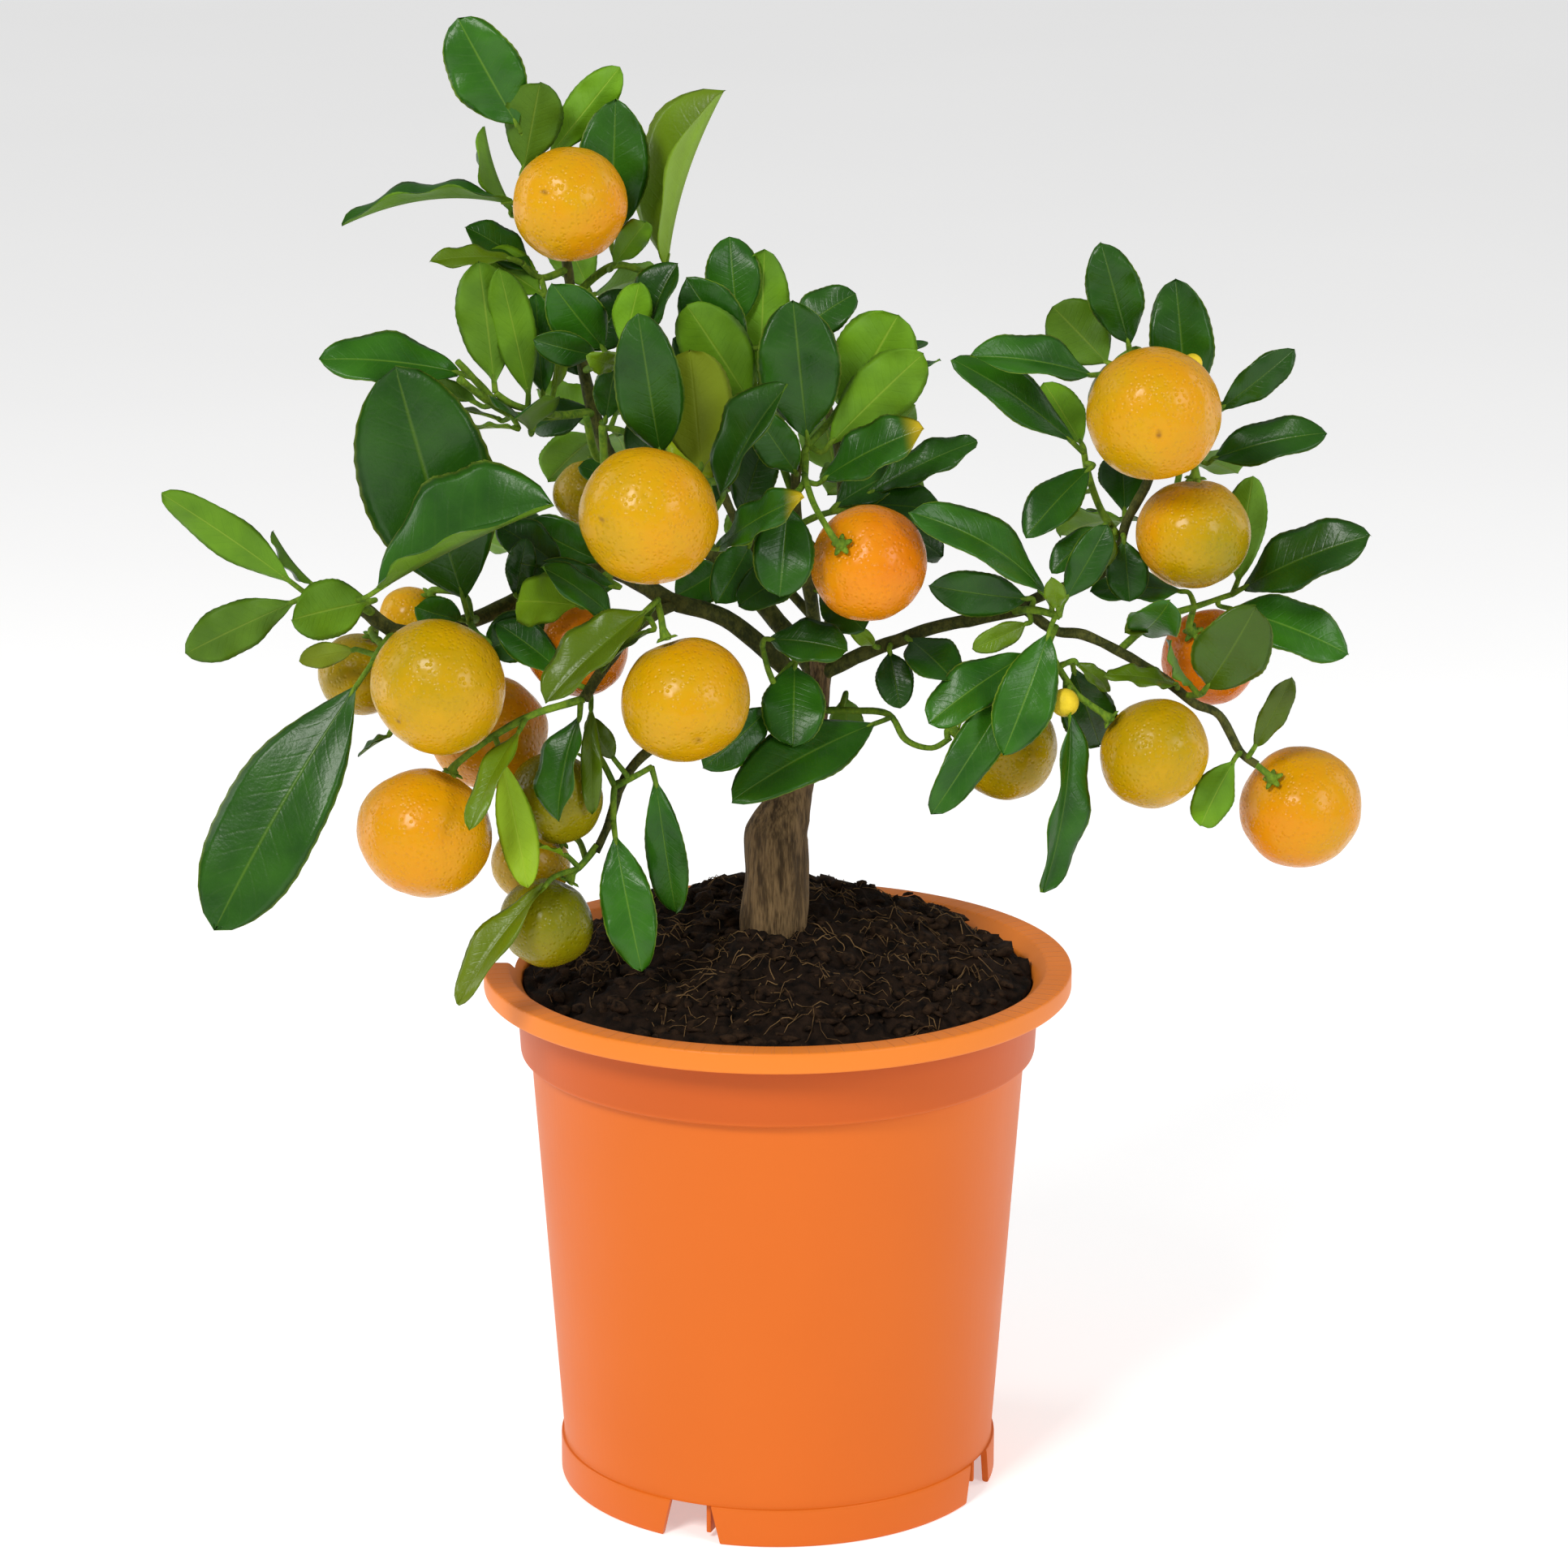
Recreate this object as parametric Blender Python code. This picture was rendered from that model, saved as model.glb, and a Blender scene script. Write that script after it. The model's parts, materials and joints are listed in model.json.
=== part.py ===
"""Potted calamondin: a small citrus tree with leafy shoots and ripening fruits, in a round nursery pot.

Metres, +Z up. The origin is on the pot's axis, at the face that the pot stands on. The plant's places are
in millimetres from the pot's axis and from the plane of its rim: x to the right, y to the back, z up.
"""

import math
from typing import NamedTuple

import bmesh
import bpy
from mathutils import Matrix, Vector

MM = 0.001
GAP = 0.3 * MM  # clearance between pieces that touch
WELD = 0.002 * MM  # points nearer than this after a Boolean are one point
CRUMB_FACES = 9  # a loose group of fewer faces after a Boolean is a crumb

# The pot: a rim with a hanging skirt, a collar band, a ledge, a tapered wall and a notched foot ring.
POT_HEIGHT = 127.5 * MM
RIM_RADIUS = 70 * MM
POT_WALL = 1.6 * MM
SKIRT_HEIGHT = 5 * MM
RIM_OVERHANG = 7.5 * MM  # from the collar's outer face to the skirt's
RIM_FLAT = 6 * MM  # width of the flat top of the rim
COLLAR_HEIGHT = 15.5 * MM
COLLAR_DRAFT = 1.1 * MM
LEDGE_WIDTH = 2.4 * MM
WALL_DRAFT = 7 * MM
FOOT_HEIGHT = 9.4 * MM
FOOT_PROUD = 0.8 * MM
FLOOR_RECESS = 1.5 * MM  # the floor's underside above the foot's step
POT_SEGMENTS = 36

NOTCH_ANGLES = [math.radians(-113 + 90 * quarter) for quarter in range(4)]
NOTCH_TOP_WIDTH = 10.4 * MM
NOTCH_BOTTOM_WIDTH = 15 * MM
LABEL_SLOT_FROM = math.radians(152)
LABEL_SLOT_TO = math.radians(180)
DRAIN_RADIUS = 4.5 * MM
DRAIN_CIRCLE = 30 * MM
DRAIN_SEGMENTS = 12
NOTCH_REACH = 6.4 * MM  # how far a notch cutter reaches in from the wall's foot
SLOT_STEPS = 6
SLOT_CLEARANCE = 0.2 * MM  # left on the collar under the label slot
SHARP_ANGLE = math.radians(35)
CUT_MARGIN = 2 * MM  # how far a cutter runs past the face that it opens

# The potting mix: a mound that fills the pot and rises round the trunk.
MOUND_HEIGHT = 10 * MM
MIX_EDGE_DROP = 4 * MM
MIX_SEGMENTS = POT_SEGMENTS // 2
MIX_RINGS = (0.94, 0.8, 0.6, 0.4, 0.2)

# The plant.
LEAF_THICKNESS = 0.9 * MM
PETIOLE_RADIUS = 0.75 * MM
TWIG_SIDES = 6
LIMB_SIDES = 7
LIMB_RADIUS = 1.5  # a twig that starts thicker than this, in millimetres, is a limb
TRUNK_SKIP = 6 * MM  # a shoot's leaves join it at least this far from the trunk's axis
LIMB_SKIP = 4 * MM  # and this far from a limb's axis
BENT_STALK = 2.3 * MM  # a leaf's stalk that starts further than this from its base bends there
CALYX_RADIUS = 2.4 * MM
CALYX_TOP_RADIUS = 1.8 * MM
CALYX_HEIGHT = 1.4 * MM
CALYX_NECK = 0.5 * MM
FRUIT_FLATNESS = 0.94
FRUIT_SEGMENTS = 10
FRUIT_RINGS = 6
# Place along a fruitlet's axis and radius there, both as shares of the fruitlet's radius.
FRUITLET_STATIONS = ((-0.5, 0.87), (0.5, 0.87), (1.0, 0.3))
FRUITLET_STALK_END = 0.9

# Share of the blade's length, and the blade's width there as a share of its widest.
LEAF_STATIONS = ((0.3, 0.7), (0.5, 1.0), (0.76, 0.8))
PETIOLE_SHARE = 0.14
LONGEST_PETIOLE = 9 * MM

FACES = {
    "F": Vector((0, -1, 0)),
    "B": Vector((0, 1, 0)),
    "U": Vector((0, 0, 1)),
    "D": Vector((0, 0, -1)),
    "L": Vector((-1, 0, 0)),
    "R": Vector((1, 0, 0)),
}


class Leaf(NamedTuple):
    """A blade from its base to its tip, with the side that its upper face looks to."""

    base: tuple
    tip: tuple
    width: float
    face: str
    fold: float = 0.2
    arch: float = 0.06


class Twig(NamedTuple):
    """A woody run with its radius at the start and at the end."""

    start: float
    end: float
    points: tuple


class Stalk(NamedTuple):
    """A fruit's stalk: the fruit it holds and the points it passes before the fruit."""

    fruit: str
    points: tuple


class Spray(NamedTuple):
    """Twigs, leaves and stalks that grew as one piece on a parent."""

    parent: str
    twigs: tuple
    leaves: tuple = ()
    stalks: tuple = ()


class Fruit(NamedTuple):
    """A fruit: its centre, its radius, where its stalk joins and its stage of ripeness."""

    centre: tuple
    radius: float
    stem: tuple
    skin: str


TRUNK = (
    ((-1, 0, -12), 8.0),
    ((-0.8, 0, 12), 7.7),
    ((-0.3, 0, 25), 7.8),
    ((0, 0, 32), 7.6),
    ((2, 0, 37.5), 6.3),
    ((4.2, 0, 43), 4.2),
    ((6.5, 0, 50), 3.2),
    ((8.8, 0, 58), 2.7),
    ((9.8, 0, 70), 2.6),
    ((9.5, 2, 76), 2.5),
)

FRUITS = {
    "fruit_crown": Fruit((-46.6, -20, 184.7), 13.0, (-0.25, 0.93, 0.15), "ripe"),
    "fruit_centre_left": Fruit((-28.8, -48, 118.9), 15.8, (0.25, 0.75, 0.6), "amber"),
    "fruit_far_left": Fruit((-97, -10, 73.3), 10, (0.3, -0.2, 0.93), "turning"),
    "fruit_left_upper": Fruit((-76.2, -48, 79.8), 15.5, (0.6, 0.7, 0.4), "olive"),
    "fruit_left_lower": Fruit((-80.5, -42, 43.9), 15.5, (0.42, 0.05, 0.9), "ripe"),
    "fruit_left_behind": Fruit((-67.4, -10, 59.3), 13.8, (-0.05, -0.15, 0.98), "ripe"),
    "fruit_left_hidden": Fruit((-86, 2, 84), 7.5, (0.6, -0.3, 0.7), "amber"),
    "fruit_centre": Fruit((20.8, -30, 104.2), 13.4, (-0.47, -0.72, 0.47), "deep"),
    "fruit_right_top": Fruit((85, -28, 138.4), 15.3, (0, 0.95, 0.3), "amber"),
    "fruit_right_green": Fruit((84, 18, 132.3), 11, (0.1, -0.75, 0.65), "green"),
    "fruit_right_upper": Fruit((95.7, -14, 107.6), 13.2, (0, -0.08, 1), "ripe"),
    "fruit_right_behind": Fruit((102, 8, 73), 11.5, (-0.4, -0.6, 0.65), "deep"),
    "fruit_right_middle": Fruit((87, -22, 57.4), 13, (-0.78, 0, 0.62), "turning"),
    "fruit_right_lower": Fruit((123.4, -2, 39), 14.5, (-0.53, -0.57, 0.63), "amber"),
    "fruit_right_inner": Fruit((53.8, -8, 55), 12.3, (-0.95, 0, 0.3), "olive"),
    "fruit_front": Fruit((-20.7, -45, 75.9), 14.8, (-0.3, 0.1, 0.95), "amber"),
    "fruit_inner_left": Fruit((-46.3, -18, 81.6), 12, (0.2, 0.5, 0.8), "deep"),
    "fruit_hanging_olive": Fruit((-50.9, -32, 49.5), 11, (0.6, 0.3, 0.75), "green"),
    "fruit_hanging_back": Fruit((-57.8, -14, 28.7), 9.5, (0.7, -0.2, 0.6), "olive"),
    "fruit_hanging_tip": Fruit((-53.3, -34, 20.1), 10.9, (0.45, 0.1, 0.85), "green"),
    "fruit_back_left": Fruit((-45, 28, 108), 8.5, (0.2, 0.5, 0.8), "olive"),
    "fruit_back_right": Fruit((97, 24, 96), 10, (-0.25, -0.25, 0.93), "amber"),
}

# Two fruitlets grow with their shoots: centre, radius and the point where they join.
FRUITLETS = {
    "right_hanging_shoot": ((66, -26, 70.5), 3.3, (66.5, -20.5, 75)),
    "right_top_shoot": ((95, -10, 146.5), 2.3, (97, -1, 132)),
}

SPRAYS = {
    "limb_right": Spray(
        "trunk",
        (Twig(1.8, 1.4, ((9.8, 0, 70.5), (20, -3, 76.5), (28, -5, 80), (36, -7, 83.5), (46, -10, 86.5),
                         (58, -12, 89.5))),),
        (
            Leaf((30, -8, 81.5), (40.6, -24, 75), 12, "FU"),
            Leaf((26, -8, 79), (28.5, -14, 66), 9, "F"),
            Leaf((23, -7, 79), (16.5, -15, 86.5), 4, "F"),
        ),
    ),
    "limb_right_up": Spray(
        "limb_right",
        (
            Twig(1.3, 1.0, ((53, -11, 88.3), (63, -9, 92.5), (71, -9.5, 95.5), (78, -8, 99.5), (81, -6, 109),
                            (86, -3, 118), (88, 0, 128), (86, 2, 138), (84.3, 3, 144))),
            Twig(0.9, 0.7, ((81, -6, 109), (82, 6, 106), (82, 18, 104))),
        ),
        (
            Leaf((82, 18, 104), (77, 38, 97), 14, "BU"),
            Leaf((82, 13, 105), (68, 33, 97), 13, "BU"),
            Leaf((82, 17, 105), (82, 33, 116), 12, "BU"),
            Leaf((80, -9, 106), (81.5, -12, 91), 10, "F"),
        ),
    ),
    "limb_left": Spray(
        "trunk",
        (
            Twig(2.2, 1.8, ((9.4, 0, 65), (-1, -8, 77), (-12, -12, 87), (-25, -14, 92), (-40, -4, 97),
                            (-55, -2, 92),
                            (-70, -8, 86), (-86, -22, 86), (-95.6, -28, 94))),
            Twig(0.9, 0.7, ((-55, -2, 92), (-58, 10, 95), (-60, 22, 94))),
        ),
        (
            Leaf((-60, 22, 94), (-80, 32, 98), 15, "BU"),
            Leaf((-59, 16, 94), (-48, 38, 84), 14, "BU"),
            Leaf((-60, 20, 95), (-64, 38, 110), 13, "BU"),
            Leaf((-40, -7, 99), (-58, -10, 109), 12, "F"),
        ),
    ),
    "limb_crown": Spray(
        "trunk",
        (
            Twig(2.4, 1.0, ((9.6, 0.5, 70), (0, 7, 82), (-14, 7, 97), (-28, 5, 109), (-38, 3, 120),
                            (-43, 1, 135),
                            (-46, 0, 150), (-48, -2, 166), (-50, -4, 180))),
            Twig(1.1, 0.9, ((-38, 3, 120), (-39.5, -6, 123), (-42, -12, 126), (-43.7, -16, 135.4))),
            Twig(1.1, 0.9, ((-39.2, -4, 122.4), (-39.5, -13, 122), (-40, -18, 133.5))),
            Twig(0.9, 0.7, ((-46, 0, 150), (-46, 10, 154), (-44, 20, 158))),
        ),
        (
            Leaf((-44, 20, 158), (-52, 30, 174), 12, "B"),
            Leaf((-44, 18, 157), (-28, 30, 160), 13, "BU"),
            Leaf((-45, 14, 155), (-62, 26, 149), 13, "BU"),
            Leaf((-40, -1, 131), (-37, -6, 147), 8, "F"),
            Leaf((-44, 4, 140), (-51, 3, 155), 11, "F"),
            Leaf((-42, 4, 133), (-57, 6, 128), 10, "UF"),
            Leaf((-30, 2, 112), (-46, -2, 121), 10, "UF"),
            Leaf((-12, 4, 96), (-24, -2, 90), 11, "F"),
            Leaf((-8, 10, 90), (4, 12, 104), 12, "F"),
            Leaf((-22, 8, 104), (-16, 10, 124), 13, "F"),
            Leaf((-33, 8, 116), (-26, 8, 136), 13, "F"),
            Leaf((-45, 3, 146), (-34, 4, 161), 12, "F"),
        ),
    ),
    "limb_hanging": Spray(
        "trunk",
        (Twig(1.4, 1.0, ((7.4, 0, 52.5), (-4, -8, 62), (-16, -16, 63), (-27, -22, 60), (-35, -26, 53),
                         (-39, -28, 42),
                         (-42, -30, 36))),),
    ),
    "limb_middle": Spray(
        "trunk",
        (
            Twig(1.8, 1.1, ((9.4, 0.5, 74.5), (8, -10, 90), (5, -16, 105), (4, -18, 118), (5, -18, 127))),
            Twig(1.2, 1.0, ((8.4, -7, 86), (-2, -2, 97), (-10, -8, 110), (-14, -12, 121))),
        ),
        (
            Leaf((-6, -6, 104), (-14, -18, 92), 11, "F"),
            Leaf((6, -14, 99), (-9, -20, 92), 12, "UF"),
            Leaf((9, -13, 94), (20, -20, 86), 11, "UF"),
            Leaf((3, -19, 113), (3, -24, 97), 10, "F"),
            Leaf((5, -20, 122), (-5, -24, 138), 10, "F"),
            Leaf((-13, -9, 118), (-24, -10, 136), 13, "F"),
            Leaf((-9, -6, 109), (-3, -6, 128), 11, "F"),
        ),
    ),
    "limb_back": Spray(
        "trunk",
        (
            Twig(1.8, 1.0, ((9.9, 0.8, 62), (13, 12, 84), (15, 24, 99), (15, 34, 114), (12, 40, 127))),
            Twig(1.2, 0.8, ((14, 18, 91.5), (0, 28, 103), (-18, 36, 112), (-34, 38, 120))),
            Twig(1.2, 0.8, ((14.2, 20, 94), (20, 28, 102), (24, 34, 112))),
        ),
        (
            Leaf((24, 35, 113), (12, 48, 104), 14, "BU"),
            Leaf((24, 35, 114), (33, 42, 127), 13, "BU"),
            Leaf((22, 32, 108), (34, 44, 104), 13, "BU"),
            Leaf((0, 28, 104), (-10, 42, 92), 14, "BU"),
            Leaf((-18, 36, 113), (-16, 52, 102), 14, "BU"),
            Leaf((13, 15, 92), (22, 12, 106), 12, "F"),
        ),
    ),
    "crown_tip_shoot": Spray(
        "limb_crown",
        (Twig(1.0, 0.7, ((-49.6, -3.6, 177), (-52, -5, 187), (-55, -6, 194), (-58, -7, 199))),),
        (
            Leaf((-58, -7, 199), (-72, -8, 225), 17, "F"),
            Leaf((-58, -7, 189), (-53.5, -12, 211), 13.5, "B"),
            Leaf((-53, -5, 192), (-35.7, -2, 213.3), 10, "B"),
            Leaf((-60, -1, 179), (-66.7, -2, 199.8), 12, "L", 0.6),
            Leaf((-57, -6, 182), (-98.5, -16, 179.1), 12, "U", 0.6, 0.1),
        ),
        (Stalk("fruit_crown", ((-52, -5, 187),)),),
    ),
    "crown_right_shoot": Spray(
        "limb_crown",
        (Twig(1.0, 0.7, ((-47.3, -1.2, 160), (-41, -3, 166), (-36, -2, 168), (-28, -1, 165))),),
        (
            Leaf((-38, -2, 172), (-36.7, -4, 206.4), 16.5, "F"),
            Leaf((-26, 0, 164), (-12.1, 0, 207.8), 21, "LLLF", 1.0),
            Leaf((-38, -8, 168), (-29.5, -21, 181), 7, "B"),
        ),
    ),
    "crown_left_shoot": Spray(
        "limb_crown",
        (Twig(0.9, 0.7, ((-48.2, -2.2, 167), (-54, -8, 166), (-58, -12, 170))),),
        (
            Leaf((-55, -9, 167), (-71, -10, 178), 10, "UF"),
            Leaf((-59, -13, 171), (-78.5, -20, 171.7), 6, "UF"),
            Leaf((-53, -9, 162), (-67, -13, 172), 11, "B"),
        ),
    ),
    "upper_left_shoot": Spray(
        "limb_crown",
        (
            Twig(1.1, 0.8, ((-42.5, 1.2, 133), (-50, -8, 134), (-58, -12, 134.5), (-62, -14, 136),
                            (-67, -17, 142),
                            (-72.5, -21, 149))),
            Twig(0.9, 0.9, ((-61, -14, 135.5), (-65, -17.5, 138.5), (-72, -24, 145.5))),
            Twig(0.9, 0.7, ((-50, -8, 134), (-54, -17, 136.5), (-60, -21, 139), (-64, -22, 142))),
        ),
        (
            Leaf((-64, -22, 142), (-67, -27, 173), 14, "B", 0.25),
            Leaf((-56, -20, 138), (-62.3, -30, 172), 10, "B"),
            Leaf((-53.5, -13, 138), (-55, -13, 163.4), 8, "F"),
            Leaf((-51.5, -11, 139), (-50.5, -9, 161), 6, "FR", 0.5),
            Leaf((-70, -17, 145), (-103.7, -24, 150), 15, "UF", 0.15),
            Leaf((-67, -13, 137), (-92.3, -10, 142.8), 9, "UB", 0.5),
            Leaf((-63, -9, 133), (-76.8, -8, 135.3), 4, "U"),
            Leaf((-59, -18, 133), (-71.5, -22, 133), 5, "U"),
            Leaf((-56, -19, 132), (-59, -36, 139), 16, "U", 0.8),
        ),
    ),
    "upper_middle_shoot": Spray(
        "limb_crown",
        (Twig(1.0, 0.7, ((-44.6, 0.5, 143), (-41, -8, 146), (-38, -16, 149.5), (-36, -23, 150.5))),),
        (
            Leaf((-39, -14, 150), (-50.8, -22, 167), 13, "F"),
            Leaf((-40, -20, 150), (-55, -29, 155.5), 8, "F"),
            Leaf((-36, -26, 149), (-42.6, -36, 153), 6, "F"),
            Leaf((-35, -23, 151.5), (-31, -26, 168), 9, "B"),
            Leaf((-30, -19, 153), (-22.5, -18, 171), 12, "LF", 0.7),
        ),
    ),
    "middle_left_shoot": Spray(
        "limb_middle",
        (
            Twig(1.0, 0.7, ((-13.8, -11.8, 119.5), (-16, -20, 121), (-19, -26, 124), (-25, -30, 127))),
            Twig(0.8, 0.7, ((-16, -20, 121), (-14.5, -28, 116), (-15, -33, 108.5))),
        ),
        (
            Leaf((-26, -30, 127), (-31.1, -36, 162.5), 15.5, "F"),
            Leaf((-17, -26, 122.5), (-19.7, -30, 153.4), 17, "B"),
            Leaf((-13.5, -29, 116), (2.5, -37, 146.8), 15, "LLF", 0.7),
            Leaf((-14.8, -34, 107), (6, -52, 124), 11, "LUF"),
        ),
        (Stalk("fruit_centre_left", ((-22, -28, 125.7),)),),
    ),
    "middle_top_shoot": Spray(
        "limb_middle",
        (Twig(1.0, 0.7, ((4, -17.7, 116), (0, -15, 127), (-4, -13, 137), (-6, -11, 145), (-9, -6, 152))),),
        (
            Leaf((-7, -12, 146.5), (-20.7, -16, 167.3), 14, "F"),
            Leaf((-9, -5, 153), (-11, -2, 174.5), 13, "F"),
            Leaf((-4, -10, 139), (-3, -4, 172), 13, "B"),
            Leaf((-5, -17, 137), (-20.5, -22, 162), 15.5, "B"),
            Leaf((-3.5, -17, 141), (-2, -18, 152), 4, "L"),
            Leaf((2, -3, 150), (18, 0, 161), 12, "UF"),
            Leaf((-6, -9, 141), (-24, -8, 152), 10, "F"),
            Leaf((-4, -9, 136), (8, -5, 151), 11, "F"),
        ),
    ),
    "middle_right_shoot": Spray(
        "limb_middle",
        (
            Twig(1.0, 0.7, ((5, -18, 124), (7, -19, 129), (12, -15, 134), (17, -9, 139), (24, -6, 140.5))),
            Twig(0.9, 0.7, ((6.4, -18.7, 127.5), (6, -26, 122), (3.5, -33, 120.5))),
        ),
        (
            Leaf((7, -20, 129), (3.5, -25, 163.8), 19, "F"),
            Leaf((14, -15, 134), (27.5, -14, 158.5), 18.5, "B"),
            Leaf((10, -21, 128), (33, -27, 152), 14.5, "B"),
            Leaf((15, -1, 143), (24, 4, 150.5), 7, "U"),
            Leaf((24, -6, 142), (34.5, -2, 150.2), 7, "U"),
            Leaf((25, -8, 138.5), (37.4, -8, 147), 7, "U"),
            Leaf((9, -25, 121.5), (33, -34, 136), 14, "UF"),
            Leaf((2.5, -34, 120), (0.5, -43, 99.4), 14, "F"),
        ),
        (Stalk("fruit_centre", ((6.1, -24, 123.5), (8, -35, 119.5), (11, -43, 115.5))),),
    ),
    "middle_low_shoot": Spray(
        "limb_middle",
        (Twig(0.9, 0.7, ((4.5, -17, 110), (10, -14, 112), (17, -11, 113))),),
        (
            Leaf((19, -11, 115), (46, -8, 128), 9.5, "UF"),
            Leaf((17, -11, 113.5), (38, -16, 113), 12, "UF"),
            Leaf((17, -9, 112), (38.3, -6, 100.3), 13, "UF"),
            Leaf((12, -13, 113), (30, -4, 121), 11, "UF"),
        ),
    ),
    "left_big_leaf_shoot": Spray(
        "limb_left",
        (Twig(1.2, 0.9, ((-70, -8, 86), (-71, -16, 87.5), (-70.5, -25, 89.6))),),
        (
            Leaf((-70.5, -26, 90.5), (-86, -30, 149.5), 31, "F", 0.12, 0.04),
            Leaf((-72, -22, 89), (-82.5, -30, 94), 9, "F"),
        ),
        (
            Stalk("fruit_left_upper", ((-70.6, -24, 89.3), (-68.5, -31, 88))),
            Stalk("fruit_left_behind", ((-70.9, -15.5, 87.3), (-69.5, -14, 80))),
            Stalk("fruit_left_hidden", ((-70.8, -14.5, 87.2), (-72.5, -8, 91.5))),
        ),
    ),
    "far_left_upper_shoot": Spray(
        "limb_left",
        (Twig(1.1, 0.8, ((-92.5, -26, 91.4), (-95, -33, 95), (-100, -36, 97.5), (-106, -38, 98.5))),),
        (
            Leaf((-93, -40, 98.5), (-49.4, -56, 123), 26, "UUF", 1.0, 0.03),
            Leaf((-107.5, -39, 100), (-137.5, -46, 123.7), 10, "B"),
            Leaf((-107.7, -38, 97.8), (-133, -48, 87.4), 12, "B"),
            Leaf((-91, -36, 97), (-109, -47, 95), 14, "B", 0.1),
            Leaf((-104.4, -35, 99.5), (-114.5, -30, 111.7), 9, "L", 0.5),
        ),
    ),
    "far_left_lower_shoot": Spray(
        "limb_left",
        (
            Twig(1.1, 0.9, ((-87.5, -23, 87.2), (-90.5, -29, 84), (-92, -34, 82))),
            Twig(0.8, 0.6, ((-91, -30.5, 83.4), (-92, -28, 73), (-89, -22, 63))),
        ),
        (
            Leaf((-93, -36, 81), (-128, -52, 23.6), 25, "FU", 0.15, 0.05),
            Leaf((-96, -28, 83.5), (-109.6, -27, 80.6), 6, "B"),
            Leaf((-89, -22, 62), (-97, -22, 56.5), 7, "U"),
        ),
        (Stalk("fruit_far_left", ((-90.5, -28, 84.5), (-93.5, -21, 86)),),),
    ),
    "left_middle_shoot": Spray(
        "limb_left",
        (
            Twig(1.0, 0.8, ((-38.5, -5, 96.6), (-38, -15, 99), (-39, -22, 98.5))),
            Twig(0.8, 0.7, ((-39, -21.5, 98.6), (-49, -26, 99), (-58, -27, 95))),
        ),
        (
            Leaf((-44, -29, 94), (-58.8, -44, 98.5), 13, "B"),
            Leaf((-48, -26, 101), (-64, -25, 112), 11, "UF"),
            Leaf((-60, -27, 95), (-57, -30, 110), 7, "F"),
            Leaf((-36, -23, 97), (-57, -27, 101), 11, "F"),
            Leaf((-52, -27, 92), (-66, -31, 84), 12, "F"),
        ),
        (Stalk("fruit_inner_left", ((-38.2, -12, 98.3), (-42, -10, 95.5))),),
    ),
    "front_left_spray": Spray(
        "limb_left",
        (
            Twig(1.3, 1.2, ((-23, -13.7, 91.2), (-32, -24, 88), (-40, -34, 80), (-44, -38.5, 74.5))),
            Twig(0.9, 0.8, ((-32, -24, 88), (-28.5, -31, 94), (-27, -38, 97.5))),
            Twig(0.9, 0.8, ((-44, -38.5, 74.5), (-56, -42, 71.5), (-66, -41, 65.5))),
        ),
        (
            Leaf((-27.5, -40, 97), (-52, -52, 76.8), 13, "LF", 0.6),
            Leaf((-28, -30, 89), (-40, -41, 81.5), 6, "U", 0.6),
            Leaf((-36, -31, 90), (-53, -42, 106), 9, "UF"),
            Leaf((-44, -40, 73), (-49.8, -47, 48), 13, "LF", 0.5),
            Leaf((-57, -44, 70.5), (-69, -62, 50), 7, "U", 0.3),
            Leaf((-42.5, -35, 74), (-42.2, -42, 48.2), 5, "F"),
            Leaf((-47, -35, 77.7), (-64, -33, 91), 10, "UF"),
            Leaf((-63, -44, 64), (-56.5, -53, 34), 9, "B", 0.2),
        ),
        (
            Stalk("fruit_front", ((-27.2, -37.5, 97.2), (-26.3, -41, 94.5))),
            Stalk("fruit_left_lower", ((-66, -41, 65.5),)),
        ),
    ),
    "hanging_tip_shoot": Spray(
        "limb_hanging",
        (Twig(0.9, 0.8, ((-41.6, -29.7, 37.5), (-44, -31, 34.5), (-46, -32, 32.5))),),
        (
            Leaf((-51, -40, 33), (-73, -52, 6), 9.5, "LF", 0.5),
            Leaf((-48, -33, 35.5), (-57.4, -44, 41.2), 4, "U"),
        ),
        (
            Stalk("fruit_hanging_tip", ((-45.5, -31.8, 33),)),
            Stalk("fruit_hanging_back", ((-44.2, -30.8, 34.3), (-46, -23, 36.5))),
        ),
    ),
    "hanging_middle_shoot": Spray(
        "limb_hanging",
        (
            Twig(0.9, 0.7, ((-35.5, -26.2, 51.5), (-37.5, -30, 51.5), (-37.8, -31.5, 44))),
            Twig(0.8, 0.7, ((-37.3, -29.6, 51.5), (-31.5, -31, 55), (-29, -29, 56))),
        ),
        (
            Leaf((-37.8, -32.5, 43), (-31.2, -41, 10.5), 12.5, "F"),
            Leaf((-28.5, -28, 55.4), (-23.6, -26, 20), 9.5, "F"),
            Leaf((-37, -32, 58), (-43.3, -33, 68.6), 6, "F"),
        ),
        (Stalk("fruit_hanging_olive", ((-37.4, -29.8, 51.5), (-40.5, -28.5, 57.5))),),
    ),
    "trunk_shoot": Spray(
        "trunk",
        (Twig(0.9, 0.7, ((8.2, 0, 56), (4, -9, 67), (1, -15, 69), (-2, -18, 76), (-3.5, -18.5, 82))),),
        (
            Leaf((4, -12, 77), (3.5, -26, 60), 15, "F"),
            Leaf((-1, -17, 68), (-17, -31, 56.4), 11, "F"),
            Leaf((-3, -20, 84), (16, -27, 83), 12, "UF"),
        ),
    ),
    "right_low_shoot": Spray(
        "trunk",
        (Twig(0.9, 0.7, ((9.2, 0, 62), (18, -4, 63), (26, -6, 62.6), (30, -8, 57), (36, -8, 55),
                         (40.5, -8, 57.5))),),
        (
            Leaf((25, -9, 62), (-10.4, -36, 49.9), 17, "UF"),
            Leaf((16, 1, 66), (16.5, 5, 50), 8.5, "B"),
        ),
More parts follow.
